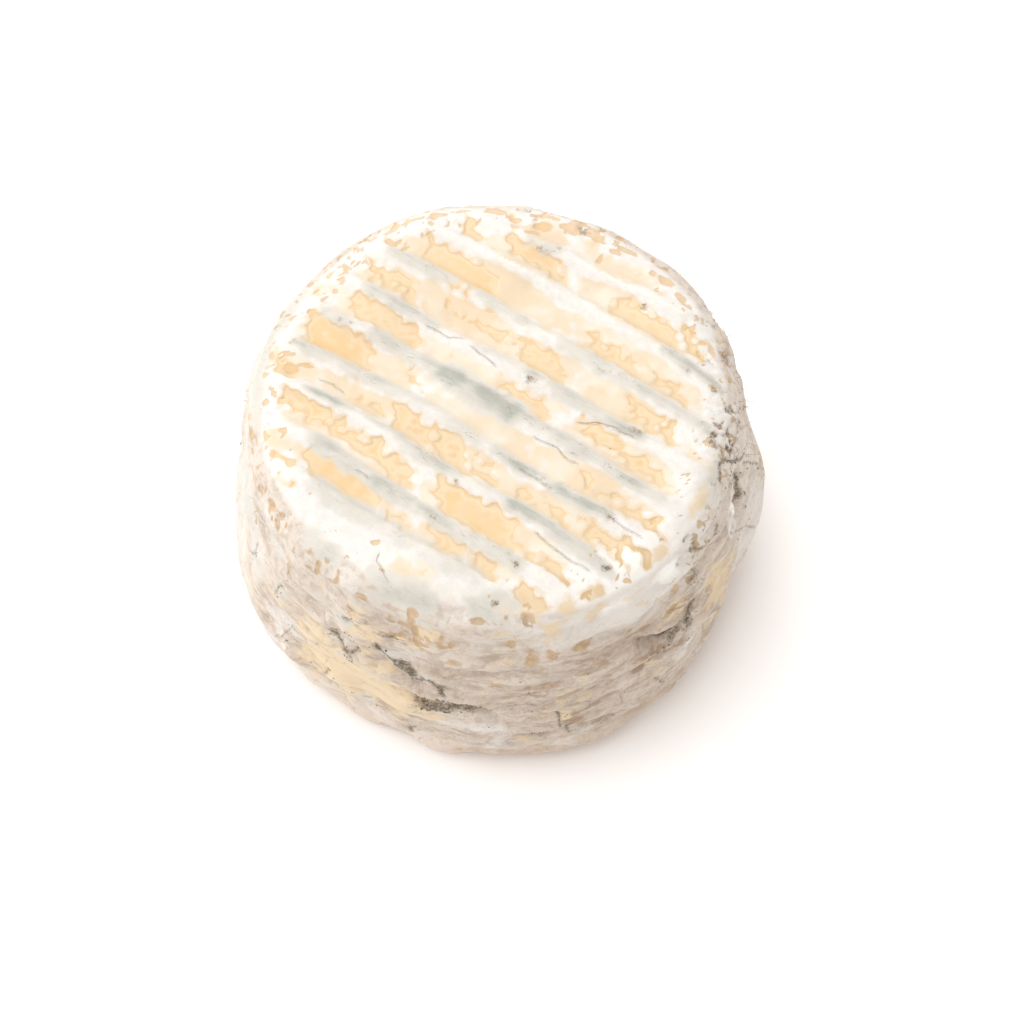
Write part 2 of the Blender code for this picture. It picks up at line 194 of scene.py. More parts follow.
# Swellings and flats: azimuth and its reach in degrees, height and its reach, amount.
SWELLING_START = (0.0, 6.0)
SWELLINGS = (
    (-5, 11, 24, 9, 2.1), (-20, 12, 9, 13, -2.1), (-72, 20, 5, 12, 1.1), (-119, 16, 5, 14, -2),
    (-157, 14, 9, 14, 1), (-178, 20, 31, 13, -1.5), (144, 15, 44, 13, -1.2), (57, 9, 47, 9, -0.7),
    (38, 12, 44, 12, 0.5), (19, 8, 44, 9, 0.8), (80, 22, 14, 14, 0.9), (112, 16, 24, 13, -0.9),
)

# Folds of the side: azimuth and height of both ends, then depth and half width.
FOLDS = (
    ((-14, 44), (-21, 33), 1.2, 1), ((-58, 31.5), (-40, 25.5), 1.6, 1.3),
    ((-128, 35), (-103, 27.5), 1.4, 1.3), ((-110, 25), (-87, 21.5), 1.5, 1.2),
    ((-150, 16), (-112, 9), 1.1, 1.5), ((-86, 13.5), (-60, 11), 0.9, 1.3), ((-37, 17), (-8, 12), 1.1, 1.4),
    ((20, 31), (48, 24), 1.4, 1.3), ((62, 17), (98, 21), 1.1, 1.4), ((120, 34), (150, 27), 1.5, 1.3),
    ((168, 20), (196, 25), 1.2, 1.4),
)

# Patches of the side where the rind is thin over tan paste: azimuth, height, their reaches, strength.
SIDE_PASTE = (
    (-118, 20, 15, 8.5, 1.6), (-124, 11, 12, 4, 0.7), (-114, 28, 8, 5, 0.8), (-131, 27, 8, 5, 0.8),
    (-126, 34, 9, 2.4, 0.6), (-119, 38.4, 7, 2.6, 0.65), (-30, 48.6, 7, 1.2, 0.7), (-112, 17, 7, 4, 0.9),
    (-133, 18, 6, 4, 0.7), (-32, 28, 7, 6, 1.3), (-40, 19, 1.6, 6, 0.6), (-29, 17, 8, 7, 0.6),
    (-108, 38.6, 5, 1.8, 0.75), (-104, 43, 4, 2, 0.6), (-130.6, 42, 2.6, 1.6, 0.6),
    (-74.4, 15, 1.6, 5, 0.65), (-80, 47.8, 5, 1.5, 0.85), (-72.6, 47.4, 4, 1.5, 0.8),
    (-66.6, 44.6, 2.6, 2, 0.95), (-76.4, 44.4, 3, 2.4, 1), (-87, 48.4, 3.6, 1.2, 0.7),
    (-88, 44.4, 3, 1.6, 0.6), (-66, 48, 4, 1.2, 0.8), (-47, 48, 4, 1.2, 0.8), (-45, 34, 4, 2, 0.7),
    (-36.8, 40.4, 1.2, 3, 0.6), (-150.6, 6, 1.6, 5, 0.7), (60, 22, 18, 9, 0.9), (150, 14, 20, 7, 0.8),
    (105, 36, 12, 6, 0.6), (10, 12, 12, 6, 0.5), (115, 46.6, 40, 2.2, 0.8),
)

# Small tan spots of the side: azimuth, height, reaches in millimetres.
SIDE_SPOTS = (
    (-81.4, 37.4, 0.9, 1.9), (-76.8, 38, 1.1, 1.3), (-70.2, 38.2, 1.5, 1.1), (-85.6, 41.4, 1.3, 0.6),
    (-98, 36.6, 1.3, 0.8), (-106.6, 41.4, 1.2, 1.2), (-108, 45.2, 0.8, 1.8), (-100.4, 41.4, 1.6, 1.5),
    (-113, 43, 0.4, 0.7), (-119.6, 45.6, 1.3, 0.5), (-127.4, 46.2, 0.4, 1), (-112.2, 39, 0.9, 0.9),
    (-93, 46.6, 1.4, 0.5), (-163.6, 44.2, 1.7, 0.9), (-161, 44.8, 1.2, 0.8), (-157, 46.6, 1, 0.7),
    (-152.6, 46.2, 1.5, 0.7), (-148.6, 46.8, 1.4, 0.6), (-145, 46.8, 0.4, 0.7), (-140.4, 45.4, 0.4, 1),
    (-136.4, 47, 0.6, 0.8), (-141, 39, 0.3, 1.4), (-157.6, 37, 0.4, 1.6), (-133, 46, 0.5, 0.5),
    (-131, 47.4, 0.7, 0.4), (-36.6, 44.2, 0.6, 1.8), (-34.4, 47.4, 0.4, 1.2), (-45.4, 38.6, 1, 1.2),
    (-46.6, 34.4, 1.6, 0.6), (-59, 36.4, 0.5, 0.5), (-63.6, 29.6, 0.5, 0.4),
)

# Dark grey-green mould of the side: azimuth, height, reaches in millimetres, strength.
SIDE_MOULD = (
    (-110.8, 32.2, 2.6, 1.4, 1.05), (-107.6, 32.2, 2, 1.4, 1.05), (-104.6, 30.8, 1.8, 1, 0.9),
    (-101.2, 28.8, 1.2, 1.2, 0.9), (-102, 22.2, 2.2, 0.9, 0.85), (-98, 22.2, 2, 0.8, 0.8),
    (-94.6, 22.4, 1.6, 0.9, 0.85), (-96.6, 24.6, 1.6, 0.9, 0.6), (-113.2, 38.6, 1.1, 1, 0.6),
    (-123.4, 38.6, 1.3, 0.9, 0.55), (-109, 7, 0.8, 1.2, 0.8), (-46.4, 28.4, 1.1, 1, 0.95),
    (-44.4, 30.2, 1.2, 0.9, 0.9), (-42, 25.4, 1.5, 1.1, 0.8), (-16.6, 38.8, 0.7, 2, 0.8),
    (-40, 38.6, 1, 1, 0.6), (-82, 13, 1.3, 0.6, 0.6),
)

# Thin dark seams, where the side's rind is folded in: half width, strength, azimuth and height along each.
SIDE_SEAMS = (
    (0.5, 0.75, ((-129.4, 31.8), (-126.8, 32.5), (-125, 31), (-124, 29.4), (-121.8, 28.6), (-120.6, 30.6))),
    (0.4, 0.55, ((-121.6, 33.6), (-118, 33), (-114.6, 33.8))),
    (0.8, 0.95, ((-115.8, 35), (-113.4, 33.6), (-110.6, 33.2), (-108, 33.2))),
    (0.6, 0.9, ((-109, 30.4), (-106, 30.4), (-103.6, 30.6), (-102.6, 28.8), (-101, 27.2))),
    (0.9, 1, ((-106.2, 23.4), (-103.6, 22.2), (-100.8, 21.6), (-97.6, 22.6), (-95, 23.4), (-92.8, 22.6))),
    (0.4, 0.6, ((-107.4, 20.4), (-105.6, 21.4))),
    (0.5, 0.6, ((-124.4, 38), (-122.6, 38.4), (-121.6, 40))),
    (0.5, 0.7, ((-114.6, 38.2), (-112.8, 38.2), (-111.6, 39.8))),
    (0.4, 0.55, ((-143.6, 29.4), (-142.6, 32.2), (-141.6, 33))), (0.3, 0.4, ((-141, 38), (-140.6, 40.6))),
    (0.4, 0.6, ((-129, 15.8), (-128.2, 18.2))),
    (0.4, 0.5, ((-134.2, 13.8), (-132.6, 15.2), (-131, 15))),
    (0.4, 0.6, ((-122, 12.8), (-120.2, 13.6), (-118, 14.8))),
    (0.4, 0.7, ((-109.8, 5.4), (-108.8, 7.4), (-107.8, 9.4))),
    (0.3, 0.55, ((-146, 11), (-142, 17), (-138.6, 23.4))),
    (0.3, 0.45, ((-84.2, 28.6), (-82.6, 27.4), (-81, 28))),
    (0.4, 0.4, ((-86, 23.8), (-83, 24.4), (-80, 23.6), (-76.6, 25))),
    (0.4, 0.7, ((-77.2, 20.6), (-75.8, 19.6), (-75.6, 16.4), (-74.8, 13.4), (-72.8, 11))),
    (0.4, 0.45, ((-70, 21.4), (-69, 18.6))),
    (0.5, 0.65, ((-84.2, 12.8), (-81.8, 13.4), (-79.8, 12.4))), (0.4, 0.45, ((-66.4, 10.2), (-62.6, 10.8))),
    (0.3, 0.45, ((-61.8, 19), (-60.6, 15))),
    (0.3, 0.5, ((-52, 16.8), (-50.4, 13.6), (-48.8, 11.4))),
    (0.5, 0.9, ((-55.6, 30.2), (-53.4, 29.8), (-51, 28.6), (-48.4, 27.6))),
    (0.7, 0.95, ((-48.4, 27.6), (-46.6, 29.2), (-44.6, 30.2), (-42.6, 31.4), (-40.4, 31.8))),
    (0.4, 0.6, ((-47.4, 26.6), (-45.4, 26.2), (-43.6, 24.6))),
    (0.4, 0.45, ((-58, 25.4), (-53.6, 24.2), (-50, 24.6))),
    (0.3, 0.35, ((-66, 33.4), (-60, 32), (-55, 33))),
    (0.3, 0.4, ((-78, 32.8), (-73.6, 31.4), (-70.6, 32))),
    (0.3, 0.35, ((-90, 33.4), (-86.6, 34.8), (-83, 34))),
    (0.4, 0.6, ((-42.8, 40), (-41, 40.4), (-39.4, 39), (-39.2, 37.4), (-41, 37.2))),
    (0.5, 0.7, ((-38.8, 43.4), (-36.6, 42.4), (-34.4, 41), (-31.6, 41.6), (-29.4, 42.6))),
    (0.5, 0.9, ((-14.8, 41.6), (-16, 39.8), (-17, 37.8), (-18.4, 35.6))),
    (0.3, 0.5, ((-23.6, 34.4), (-20.6, 31), (-16, 27.4), (-10, 20), (-3, 9))),
    (0.4, 0.8, ((-16.6, 48.2), (-13.4, 44.8), (-10.6, 42.2), (-8.4, 41.2))),
    (0.3, 0.6, ((-9.4, 40), (-5.4, 34), (-2, 28))),
    (0.4, 0.8, ((-23, 47.4), (-19.4, 48.6), (-16.6, 48), (-14, 49))),
    (0.3, 0.7, ((-6, 46.6), (-2, 45), (2, 43))), (0.3, 0.45, ((-120.8, 45.4), (-118.4, 45))),
    (0.4, 0.55, ((-154.6, 33), (-155.8, 28), (-158.6, 25.4))),
    (0.6, 0.85, ((24, 30), (31, 27.8), (38, 27), (44, 25.2))),
    (0.5, 0.8, ((64, 17.4), (72, 18.8), (80, 19.6), (86, 20.6))),
    (0.4, 0.6, ((10, 41), (16, 39), (20, 40))),
    (0.6, 0.85, ((118, 34.4), (125, 32.2), (133, 31), (141, 29))),
    (0.5, 0.75, ((170, 21), (178, 23.2), (186, 24.4))), (0.4, 0.5, ((95, 8), (102, 9.4), (108, 8.6))),
    (0.3, 0.5, ((52, 40), (58, 38.6), (64, 40.4))),
)

# White mould of the side, with painted highlights on the fold's lip and a crease, and painted floor light
# along the foot: azimuth, height, reaches in millimetres, strength.
SIDE_BLOOM_AND_HIGHLIGHT = (
    (-20.4, 38.4, 1.5, 4, 2), (-17.6, 41.8, 1.3, 1.6, 1.6), (-24, 36.4, 1.4, 2.2, 1.5),
    (-12, 34, 9, 12, 0.55), (-40, 24, 9, 8, 0.45), (-46, 19, 4.5, 1.6, 0.8), (-99, 16.4, 6, 1.6, 0.6),
    (-142.6, 16, 1.2, 7, 1.1), (-131, 6, 9, 4.5, 1), (-118, 5, 8, 4.5, 0.9), (-104, 4, 8, 4, 1),
    (-142, 20, 6, 8, 0.6), (-152, 34, 8, 8, 0.5), (-163, 26, 10, 14, 0.5), (-177, 22, 12, 16, 0.7),
    (-150, 43, 11, 3.6, 0.5), (-150, 8, 7, 6, 0.7), (-92, 8, 12, 5, 0.6), (-74, 7, 8, 4, 0.45),
    (-95, 47, 9, 2.2, 0.6), (-121, 46.6, 9, 2.2, 0.5), (-78, 45, 8, 3.6, 0.8), (-62, 44.4, 9, 4.4, 1.6),
    (-48, 44.6, 7, 4.2, 1.6), (-36, 46, 4, 3, 1.1), (-12, 24, 9, 12, 0.8), (-4, 38, 7, 7, 0.9),
    (-44, 20.4, 2.4, 1, 1.6), (-92, 17, 8, 3, 0.8), (-108, 35.6, 3, 1, 0.6), (45, 20, 7, 3, 0.8),
    (95, 38, 9, 4, 0.6), (165, 34, 8, 5, 0.7),
)

# Browner, duller velvet of the side, partly painted shade on the lower front right: azimuth, height, reaches
# in millimetres, strength.
SIDE_DULL_AND_SHADE = (
    (-60, 33.6, 10, 3.2, 1), (-76, 24, 13, 6, 0.55), (-114, 42, 11, 3.6, 0.6), (-90, 43.4, 9, 2.4, 0.3),
    (-58, 21, 5, 4, 0.3), (-52, 26, 6, 4, 1), (-45, 31, 4, 4, 1), (-80, 30, 12, 4, 0.45),
    (-71, 17, 5, 6, 0.55), (-82, 12.8, 4, 1.2, 0.7), (-64, 11, 3, 2, 0.7), (-104, 33, 6, 2, 0.5),
)

# Where the rind has worn through in tan flecks: azimuth, height, reaches in millimetres, strength.
FLECK_ZONES = (
    (-152, 45.4, 14, 1, 0.75), (-168, 47, 10, 1.2, 0.7), (-130, 44.6, 8, 1.2, 0.5),
    (-107, 40.6, 8, 3, 0.75), (-84, 46.6, 5, 1.6, 0.55), (-42, 40, 5, 3.6, 0.7), (-33, 44, 4, 4, 0.8),
    (-14, 47.6, 7, 2, 0.9), (8, 48, 8, 1.6, 0.8), (60, 48, 20, 1.8, 0.7), (130, 48, 24, 1.8, 0.8),
)

# Grey-blue mould of the side: azimuth, height, reaches in millimetres, strength.
SIDE_GREY = (
    (-177, 43, 8, 5, 0.45), (164, 45, 9, 4, 0.45), (-165, 35, 8, 11, 0.55), (-155, 29, 5, 8, 0.5),
    (-174, 20, 10, 16, 0.55), (-160, 12, 8, 10, 0.42), (-146, 39, 6, 4, 0.36), (-108, 44.4, 8, 2.4, 0.34),
    (-142.6, 32, 3, 3.4, 0.45), (-134, 39, 5, 3, 0.35), (-124, 38, 3, 2.4, 0.45),
    (-118, 44.4, 8, 2.6, 0.35), (-112, 33.4, 4, 2.6, 0.5), (-104.5, 30.6, 3.4, 2.4, 0.5),
    (-98, 24, 5, 3, 0.45), (-131, 14.4, 4, 2, 0.45), (-119.6, 14, 3, 1.8, 0.45), (-92, 43, 9, 2.6, 0.3),
    (-40, 38.6, 3, 2.6, 0.4), (-45, 28.6, 4, 2.4, 0.5), (-10, 44, 4, 3, 0.35), (-16.6, 38.6, 1.4, 3, 0.8),
    (30, 40, 8, 4, 0.35), (125, 38, 9, 5, 0.4),
)

# Curled shreds of rind: azimuth, height, reach in millimetres, how many.
CURL_PLACES = (
    (-12, 48.4, 2.4, 1.6), (-18, 47, 2.4, 1.2), (-4, 47.6, 2.6, 1.4), (8, 48, 3, 1), (-30, 45, 3, 0.8),
    (-39, 40, 2, 1), (-44, 33, 2.4, 0.6), (28, 48.6, 4, 0.8), (100, 47, 5, 0.6), (60, 47.6, 5, 0.6),
)

# Stray hairs of mould: azimuth, height, reach in millimetres, how many.
HAIR_PLACES = (
    (1, 45, 1.6, 6), (9, 47, 2.4, 4), (-9, 45, 3, 4), (22, 48, 3, 3), (40, 47, 4, 3), (-160, 44, 4, 2),
    (175, 46, 4, 2),
)

# Wrinkles and dimples, as the solid has them.
WRINKLE_LENGTHS = (17.0, 4.6)
WRINKLE_HEIGHT = 0.26
DIMPLE_LENGTH = 12.0
DIMPLE_HEIGHT = 0.35
NOISE_WAVES = 28
NOISE_SEED = 17

# The rack's grooves in the underside.
GROOVE_PITCH = 7.8
GROOVE_HALF_WIDTH = 2.7
GROOVE_DEPTH = 0.8
GROOVE_FADE = (30.0, 38.0)

# The finer relief that only this surface has.
BLOOM_THICKNESS = 0.17
LOBE_SPACING = 2.1
SEAM_DEPTH = 0.2
SEAM_HALF_WIDTH = 0.55
CREASE_LENGTHS = (11.0, 3.6)
CREASE_HEIGHT = 0.42
PUCKER_LENGTHS = (4.2, 1.5)
PUCKER_HEIGHT = 0.13

# How many random numbers a lattice has on a side, before it repeats.
LATTICE_SIZE = 64

# The fields that the finish is painted by.
FIELD_NAMES = (
    "bare", "film", "soft", "warm", "mould", "dark", "stain", "seam", "from_seam", "from_ridge",
    "crease", "pucker", "white", "torn", "painted_highlight", "dull_and_shade", "side", "side_paste",
)

# The rind's own shader: a little light passes through it, and its velvet has a faint sheen.
RIND_SHADER = {
    "Subsurface Weight": 0.22,
    "Subsurface Radius": (1.0, 0.62, 0.38),
    "Subsurface Scale": 1.6 * MM,
    "Sheen Weight": 0.12,
    "Sheen Roughness": 0.5,
    "Specular IOR Level": 0.35,
}

# The stage, in metres.
FLOOR_HALF = 3.0
KEY_PLACE = (-0.78, 0.32, 1.24)
KEY_AIM = (0.0, 0.0, 0.03)
KEY_SIZE = 2.6
NEAR_CLIP = 0.01


def smooth_step(low, high, value):
    """0 below low, 1 above high, and an even S-shaped rise between them."""
    t = np.clip((value - low) / (high - low), 0.0, 1.0)
    return t * t * (3.0 - 2.0 * t)


def bell(distance, half_width):
    """1 at no distance, falling off as a bell curve."""
    return np.exp(-((distance / half_width) ** 2))


def wave_noise(points, lengths, seed):
    """Smooth noise of about -1 to 1: sine waves in random directions, of near the given wavelengths."""
    draw = np.random.default_rng(seed)
    total = np.zeros(len(points))
    for _ in range(NOISE_WAVES):
        direction = draw.normal(size=3)
        direction /= np.linalg.norm(direction)
        stretch = draw.uniform(0.75, 1.5)
        phase = draw.uniform(0.0, 2.0 * math.pi)
        total += np.sin(2.0 * math.pi * stretch * (points / lengths) @ direction + phase)
    return total / math.sqrt(NOISE_WAVES)


def lattice_noise(points, lengths, seed, octaves=3):
    """Noise of about -1 to 1: random numbers at a lattice's corners, joined smoothly, in finer octaves."""
    size = LATTICE_SIZE
    total = np.zeros(len(points))
    weight = 1.0
    scaled = points / np.asarray(lengths)
    for octave in range(octaves):
        table = np.random.default_rng(seed + octave).uniform(-1.0, 1.0, (size, size, size))
        cell = np.floor(scaled).astype(int)
        t = scaled - cell
        t = t * t * t * (t * (t * 6.0 - 15.0) + 10.0)
        for corner in np.ndindex(2, 2, 2):
            share = np.prod(np.where(corner, t, 1.0 - t), axis=1)
            total += weight * share * table[tuple(((cell + corner) % size).T)]
        scaled = scaled * 2.03 + 11.7
        weight *= 0.5
    return total


def seed_distance(points, spacing, seed):
    """Distance to the nearest of many scattered seeds, one in each cell of a grid of the given spacing."""
    size = LATTICE_SIZE
    dims = points.shape[1]
    jitter = np.random.default_rng(seed).random((size,) * dims + (dims,))
    scaled = points / spacing
    cell = np.floor(scaled).astype(int)
    nearest = np.full(len(points), np.inf)
    for offset in np.ndindex(*(3,) * dims):
        corner = cell + np.array(offset) - 1
        seeds = corner + jitter[tuple((corner % size).T)]
        nearest = np.minimum(nearest, np.sum((scaled - seeds) ** 2, axis=1))
    return np.sqrt(nearest) * spacing


def warped(points, length, amount, seed):
    """The points pushed about at random, by up to an amount, in swirls of a length."""
    swirls = [lattice_noise(points, length, seed + 7 * axis, 2) for axis in range(points.shape[1])]
    return points + amount * np.stack(swirls, 1)


def line_distance(points, places):
    """Distance from points of a plane to a broken line, less than 0 on the right of it."""
    nearest = np.full(len(points), 99.0)
    for start, end in zip(np.asarray(places[:-1]), np.asarray(places[1:])):
        run, offset = end - start, points - start
        share = np.clip(offset @ run / (run @ run), 0.0, 1.0)
        distance = np.linalg.norm(offset - share[:, None] * run, axis=1)
        distance *= np.where(run[0] * offset[:, 1] >= run[1] * offset[:, 0], 1.0, -1.0)
        nearest = np.where(np.abs(distance) < np.abs(nearest), distance, nearest)
    return nearest


def angle_between(first, second):
    """The signed turn in degrees from one azimuth to another, from -180 to 180."""
    return (second - first + 180.0) % 360.0 - 180.0


def arc_from(centre, azimuth):
    """Distance in millimetres round the widest part, from one azimuth to others."""
    return np.radians(angle_between(centre, azimuth)) * WIDEST_RADIUS


def azimuth_of(points):
    """The azimuth of points in degrees."""
    return np.degrees(np.arctan2(points[:, 1], points[:, 0]))


def radius_of(points):
    """The distance of points from the upright axis."""
    return np.hypot(points[:, 0], points[:, 1])


def side_patches(table, azimuth, height, degree=math.radians(WIDEST_RADIUS)):
    """The strongest of a table's patches at each place: a bell round the side times a bell up it. A row has
    azimuth, height, reach round and up, and strength. A degree's length turns the first to millimetres."""
    total = np.zeros(len(azimuth))
    for centre, level, wide, tall, strength in table:
        patch = bell(angle_between(centre, azimuth) * degree, wide) * bell(height - level, tall)
        total = np.maximum(total, strength * patch)
    return total


def plan_patches(table, points):
    """The sum of a table's round bells in plan. A row has the place's x and y, reach and strength."""
    x, y = points[:, 0], points[:, 1]
    total = np.zeros(len(points))
    for place_x, place_y, reach, strength in table:
        total += strength * bell(np.hypot(x - place_x, y - place_y), reach)
    return total


def side_radius(z):
    """The swollen side: a parabola through the foot, the widest height and the shoulder."""
    heights = (FOOT_ROUNDING, WIDEST_HEIGHT, HEIGHT - SHOULDER_ROUNDING)
    radii = (FOOT_RADIUS, WIDEST_RADIUS, SHOULDER_RADIUS)
    total = 0.0
    for i, (own_height, own_radius) in enumerate(zip(heights, radii)):
        share = 1.0
        for j, other_height in enumerate(heights):
            if j != i:
                share = share * (z - other_height) / (own_height - other_height)
        total = total + own_radius * share
    return total


def profile_table():
    """The drum's half outline from the top's centre to the underside's: arc length, radius, height and
    the outward normal at closely spaced points."""
    turn = np.linspace(0.0, 1.0, 60)
    shoulder = np.radians(90.0 - 84.0 * turn)
    foot = np.radians(-8.0 - 82.0 * turn)
    shoulder_start = SHOULDER_RADIUS - SHOULDER_ROUNDING
    foot_start = FOOT_RADIUS - FOOT_ROUNDING
    shoulder_height = HEIGHT - SHOULDER_ROUNDING
    side = np.linspace(shoulder_height, FOOT_ROUNDING, 200)
    radius = np.concatenate((
        np.linspace(0.0, shoulder_start, 100)[:-1],
        shoulder_start + SHOULDER_ROUNDING * np.cos(shoulder),
        side_radius(side),
        foot_start + FOOT_ROUNDING * np.cos(foot),
        np.linspace(foot_start, 0.0, 100)[1:],
    ))
    height = np.concatenate((
        np.full(99, HEIGHT),
        shoulder_height + SHOULDER_ROUNDING * np.sin(shoulder),
        side,
        FOOT_ROUNDING + FOOT_ROUNDING * np.sin(foot),
        np.zeros(99),
    ))
    length = np.concatenate(((0.0,), np.cumsum(np.hypot(np.diff(radius), np.diff(height)))))
    along = np.stack((np.gradient(radius, length), np.gradient(height, length)), 1)
    along /= np.linalg.norm(along, axis=1)[:, None]
    return length, radius, height, -along[:, 1], along[:, 0]


def on_drum(length, azimuth):
    """The drum's points and outward normals at an arc length down the profile and an azimuth round it."""
    table, radius, height, normal_r, normal_z = profile_table()
    r, z, nr, nz = (np.interp(length, table, column) for column in (radius, height, normal_r, normal_z))
    points = np.stack((r * np.cos(azimuth), r * np.sin(azimuth), z), 1)
    normals = np.stack((nr * np.cos(azimuth), nr * np.sin(azimuth), nz), 1)
    return points, normals / np.linalg.norm(normals, axis=1)[:, None]


def disc_grid(count):
    """A square grid bent to a disc: each square ring becomes a circle. Gives the share of the radius, the
    azimuth, the grid's faces and the loop of its rim, which starts at -45 degrees."""
    line = np.linspace(-1.0, 1.0, count)
    b, a = np.meshgrid(line, line, indexing="ij")
    a, b = a.ravel(), b.ravel()
    share = np.maximum(np.abs(a), np.abs(b))
    eighth = np.pi / 4 / np.where(share == 0.0, 1.0, share)
    sideways = np.abs(a) >= np.abs(b)
    azimuth = np.where(sideways, eighth * b, (np.pi / 2 - eighth * a) * np.sign(b))
    azimuth = np.where(sideways & (a < 0.0), np.pi - eighth * b, azimuth)
    index = np.arange(count * count).reshape(count, count)
    corners = (index[:-1, :-1], index[:-1, 1:], index[1:, 1:], index[1:, :-1])
    faces = np.stack([corner.ravel() for corner in corners], 1)
    rim = np.concatenate((index[:-1, -1], index[-1, :0:-1], index[:0:-1, 0], index[0, :-1]))
    return share, azimuth, faces, rim


def zipped(upper, lower):
    """Triangles between two closed rings of vertices that start at the same azimuth, of any two counts."""
    steps = (np.arange(len(upper)) + 0.5) / len(upper)
    other_steps = (np.arange(len(lower)) + 0.5) / len(lower)
    is_upper = np.concatenate((np.ones(len(upper), bool), np.zeros(len(lower), bool)))
    is_upper = is_upper[np.argsort(np.concatenate((steps, other_steps)), kind="stable")]
    at_upper = np.cumsum(is_upper) - is_upper
    at_lower = np.cumsum(~is_upper) - ~is_upper
    first = upper[at_upper % len(upper)]
    second = lower[at_lower % len(lower)]
    third = np.where(is_upper, upper[(at_upper + 1) % len(upper)], lower[(at_lower + 1) % len(lower)])
    return np.stack((first, second, third), 1)


def drum_surface():
    """The whole drum as one closed surface: a bent grid on top, rings down the side, and a bent grid
    below, zipped together. Gives points, normals, quads and triangles."""
    total = profile_table()[0][-1]
    share, azimuth, top_faces, top_rim = disc_grid(TOP_GRID)
    lengths, azimuths = [share * TOP_REACH], [azimuth]
    ring_lengths = np.linspace(TOP_REACH, total - BASE_REACH, SIDE_RINGS + 2)[1:-1]
    ring_azimuths = -np.pi / 4 + 2.0 * np.pi * np.arange(SIDE_STEPS) / SIDE_STEPS
    lengths.append(np.repeat(ring_lengths, SIDE_STEPS))
    azimuths.append(np.tile(ring_azimuths, SIDE_RINGS))
    rings = TOP_GRID**2 + np.arange(SIDE_RINGS * SIDE_STEPS).reshape(SIDE_RINGS, SIDE_STEPS)
    next_step = np.roll(rings, -1, axis=1)
    corners = (rings[:-1], rings[1:], next_step[1:], next_step[:-1])
    side_faces = np.stack([corner.ravel() for corner in corners], 1)
    share, azimuth, base_faces, base_rim = disc_grid(BASE_GRID)
    base_start = TOP_GRID**2 + rings.size
    lengths.append(total - share * BASE_REACH)
    azimuths.append(azimuth)
    points, normals = on_drum(np.concatenate(lengths), np.concatenate(azimuths))
    quads = np.vstack((top_faces, side_faces, base_start + base_faces[:, ::-1]))
    triangles = np.vstack((zipped(top_rim, rings[0]), zipped(rings[-1], base_start + base_rim)))
    return points, normals, quads, triangles


def course(along, stations):
    """A crest's distance across the wheel at each place along it: a smooth curve through its stations."""
    values = np.array(stations)
    position = np.clip(along / STATION_SPACING + 2.0, 0.0, 3.999)
    index = position.astype(int)
    t = position - index
    slopes = np.gradient(values)
    rise = t * t * (3.0 - 2.0 * t)
    bend = t * (1.0 - t) ** 2 * slopes[index] - t * t * (1.0 - t) * slopes[index + 1]
    return values[index] + (values[index + 1] - values[index]) * rise + bend


def rack_axes(points):
    """Distance along the ridges and across them, from the middle of the top."""
    x, y = points[:, 0], points[:, 1]
    along = x * math.cos(RIDGE_ANGLE) + y * math.sin(RIDGE_ANGLE)
    across = -x * math.sin(RIDGE_ANGLE) + y * math.cos(RIDGE_ANGLE)
    return along, across


def ridge_offsets(along, across):
    """Signed distance across from every crest, one row for each ridge."""
    return np.stack([across - course(along, stations) for stations in RIDGE_COURSES])


def nearest_ridge(along, across):
    """Signed distance across from the nearest crest."""
    offsets = ridge_offsets(along, across)
    return np.take_along_axis(offsets, np.argmin(np.abs(offsets), axis=0)[None], 0)[0]


def ridge_bell(along, across):
    """0 between the ridges and 1 on a crest: a round-topped bell across each."""
    return np.exp(-np.min(np.abs(ridge_offsets(along, across)) / RIDGE_HALF_WIDTH, axis=0) ** 2.4)


def lane_share(along, across):
    """How far up its lane a place is: 0 at the ridge below it and 1 at the ridge above."""
    offsets = ridge_offsets(along, across)
    below = np.min(np.where(offsets >= 0.0, offsets, 9.0), axis=0)
    above = np.min(np.where(offsets < 0.0, -offsets, 9.0), axis=0)
    return below / (below + above)


def swelling_relief(azimuth, height):
    """The large departures from round: a bell over azimuth and height for each."""
    total = np.zeros(len(azimuth))
    for centre, turn, level, reach, amount in SWELLINGS:
        total += amount * bell(angle_between(centre, azimuth), turn) * bell(height - level, reach)
    return total


def fold_relief(azimuth, height):
    """Each fold is a groove between two points of the side, with a low lip above it."""
    total = np.zeros(len(azimuth))
    for (start_turn, start_level), (end_turn, end_level), depth, width in FOLDS:
        run = np.array((arc_from(start_turn, end_turn), end_level - start_level))
        length = np.linalg.norm(run)
        from_start = np.stack((arc_from(start_turn, azimuth), height - start_level), 1)
        along = from_start @ run / length
        across = (from_start[:, 1] * run[0] - from_start[:, 0] * run[1]) / length
        across += 0.8 * np.sin(along / 2.3)
        ends = smooth_step(-0.5, 3.0, along) * smooth_step(-0.5, 3.0, length - along)
        lip = 0.45 * bell(across - 2.0 * width, width)
        total += depth * ends * (lip - bell(across, width))
    return total


def base_relief(points):
    """The rack's straight grooves, pressed up into the flat underside and fading before the foot."""
    across = rack_axes(points)[1]
    from_groove = np.abs(across % GROOVE_PITCH - GROOVE_PITCH / 2)
    hollow = 0.5 + 0.5 * np.cos(np.pi * np.clip(from_groove / GROOVE_HALF_WIDTH, 0.0, 1.0))
    return -GROOVE_DEPTH * hollow * (1.0 - smooth_step(*GROOVE_FADE, np.hypot(points[:, 0], points[:, 1])))


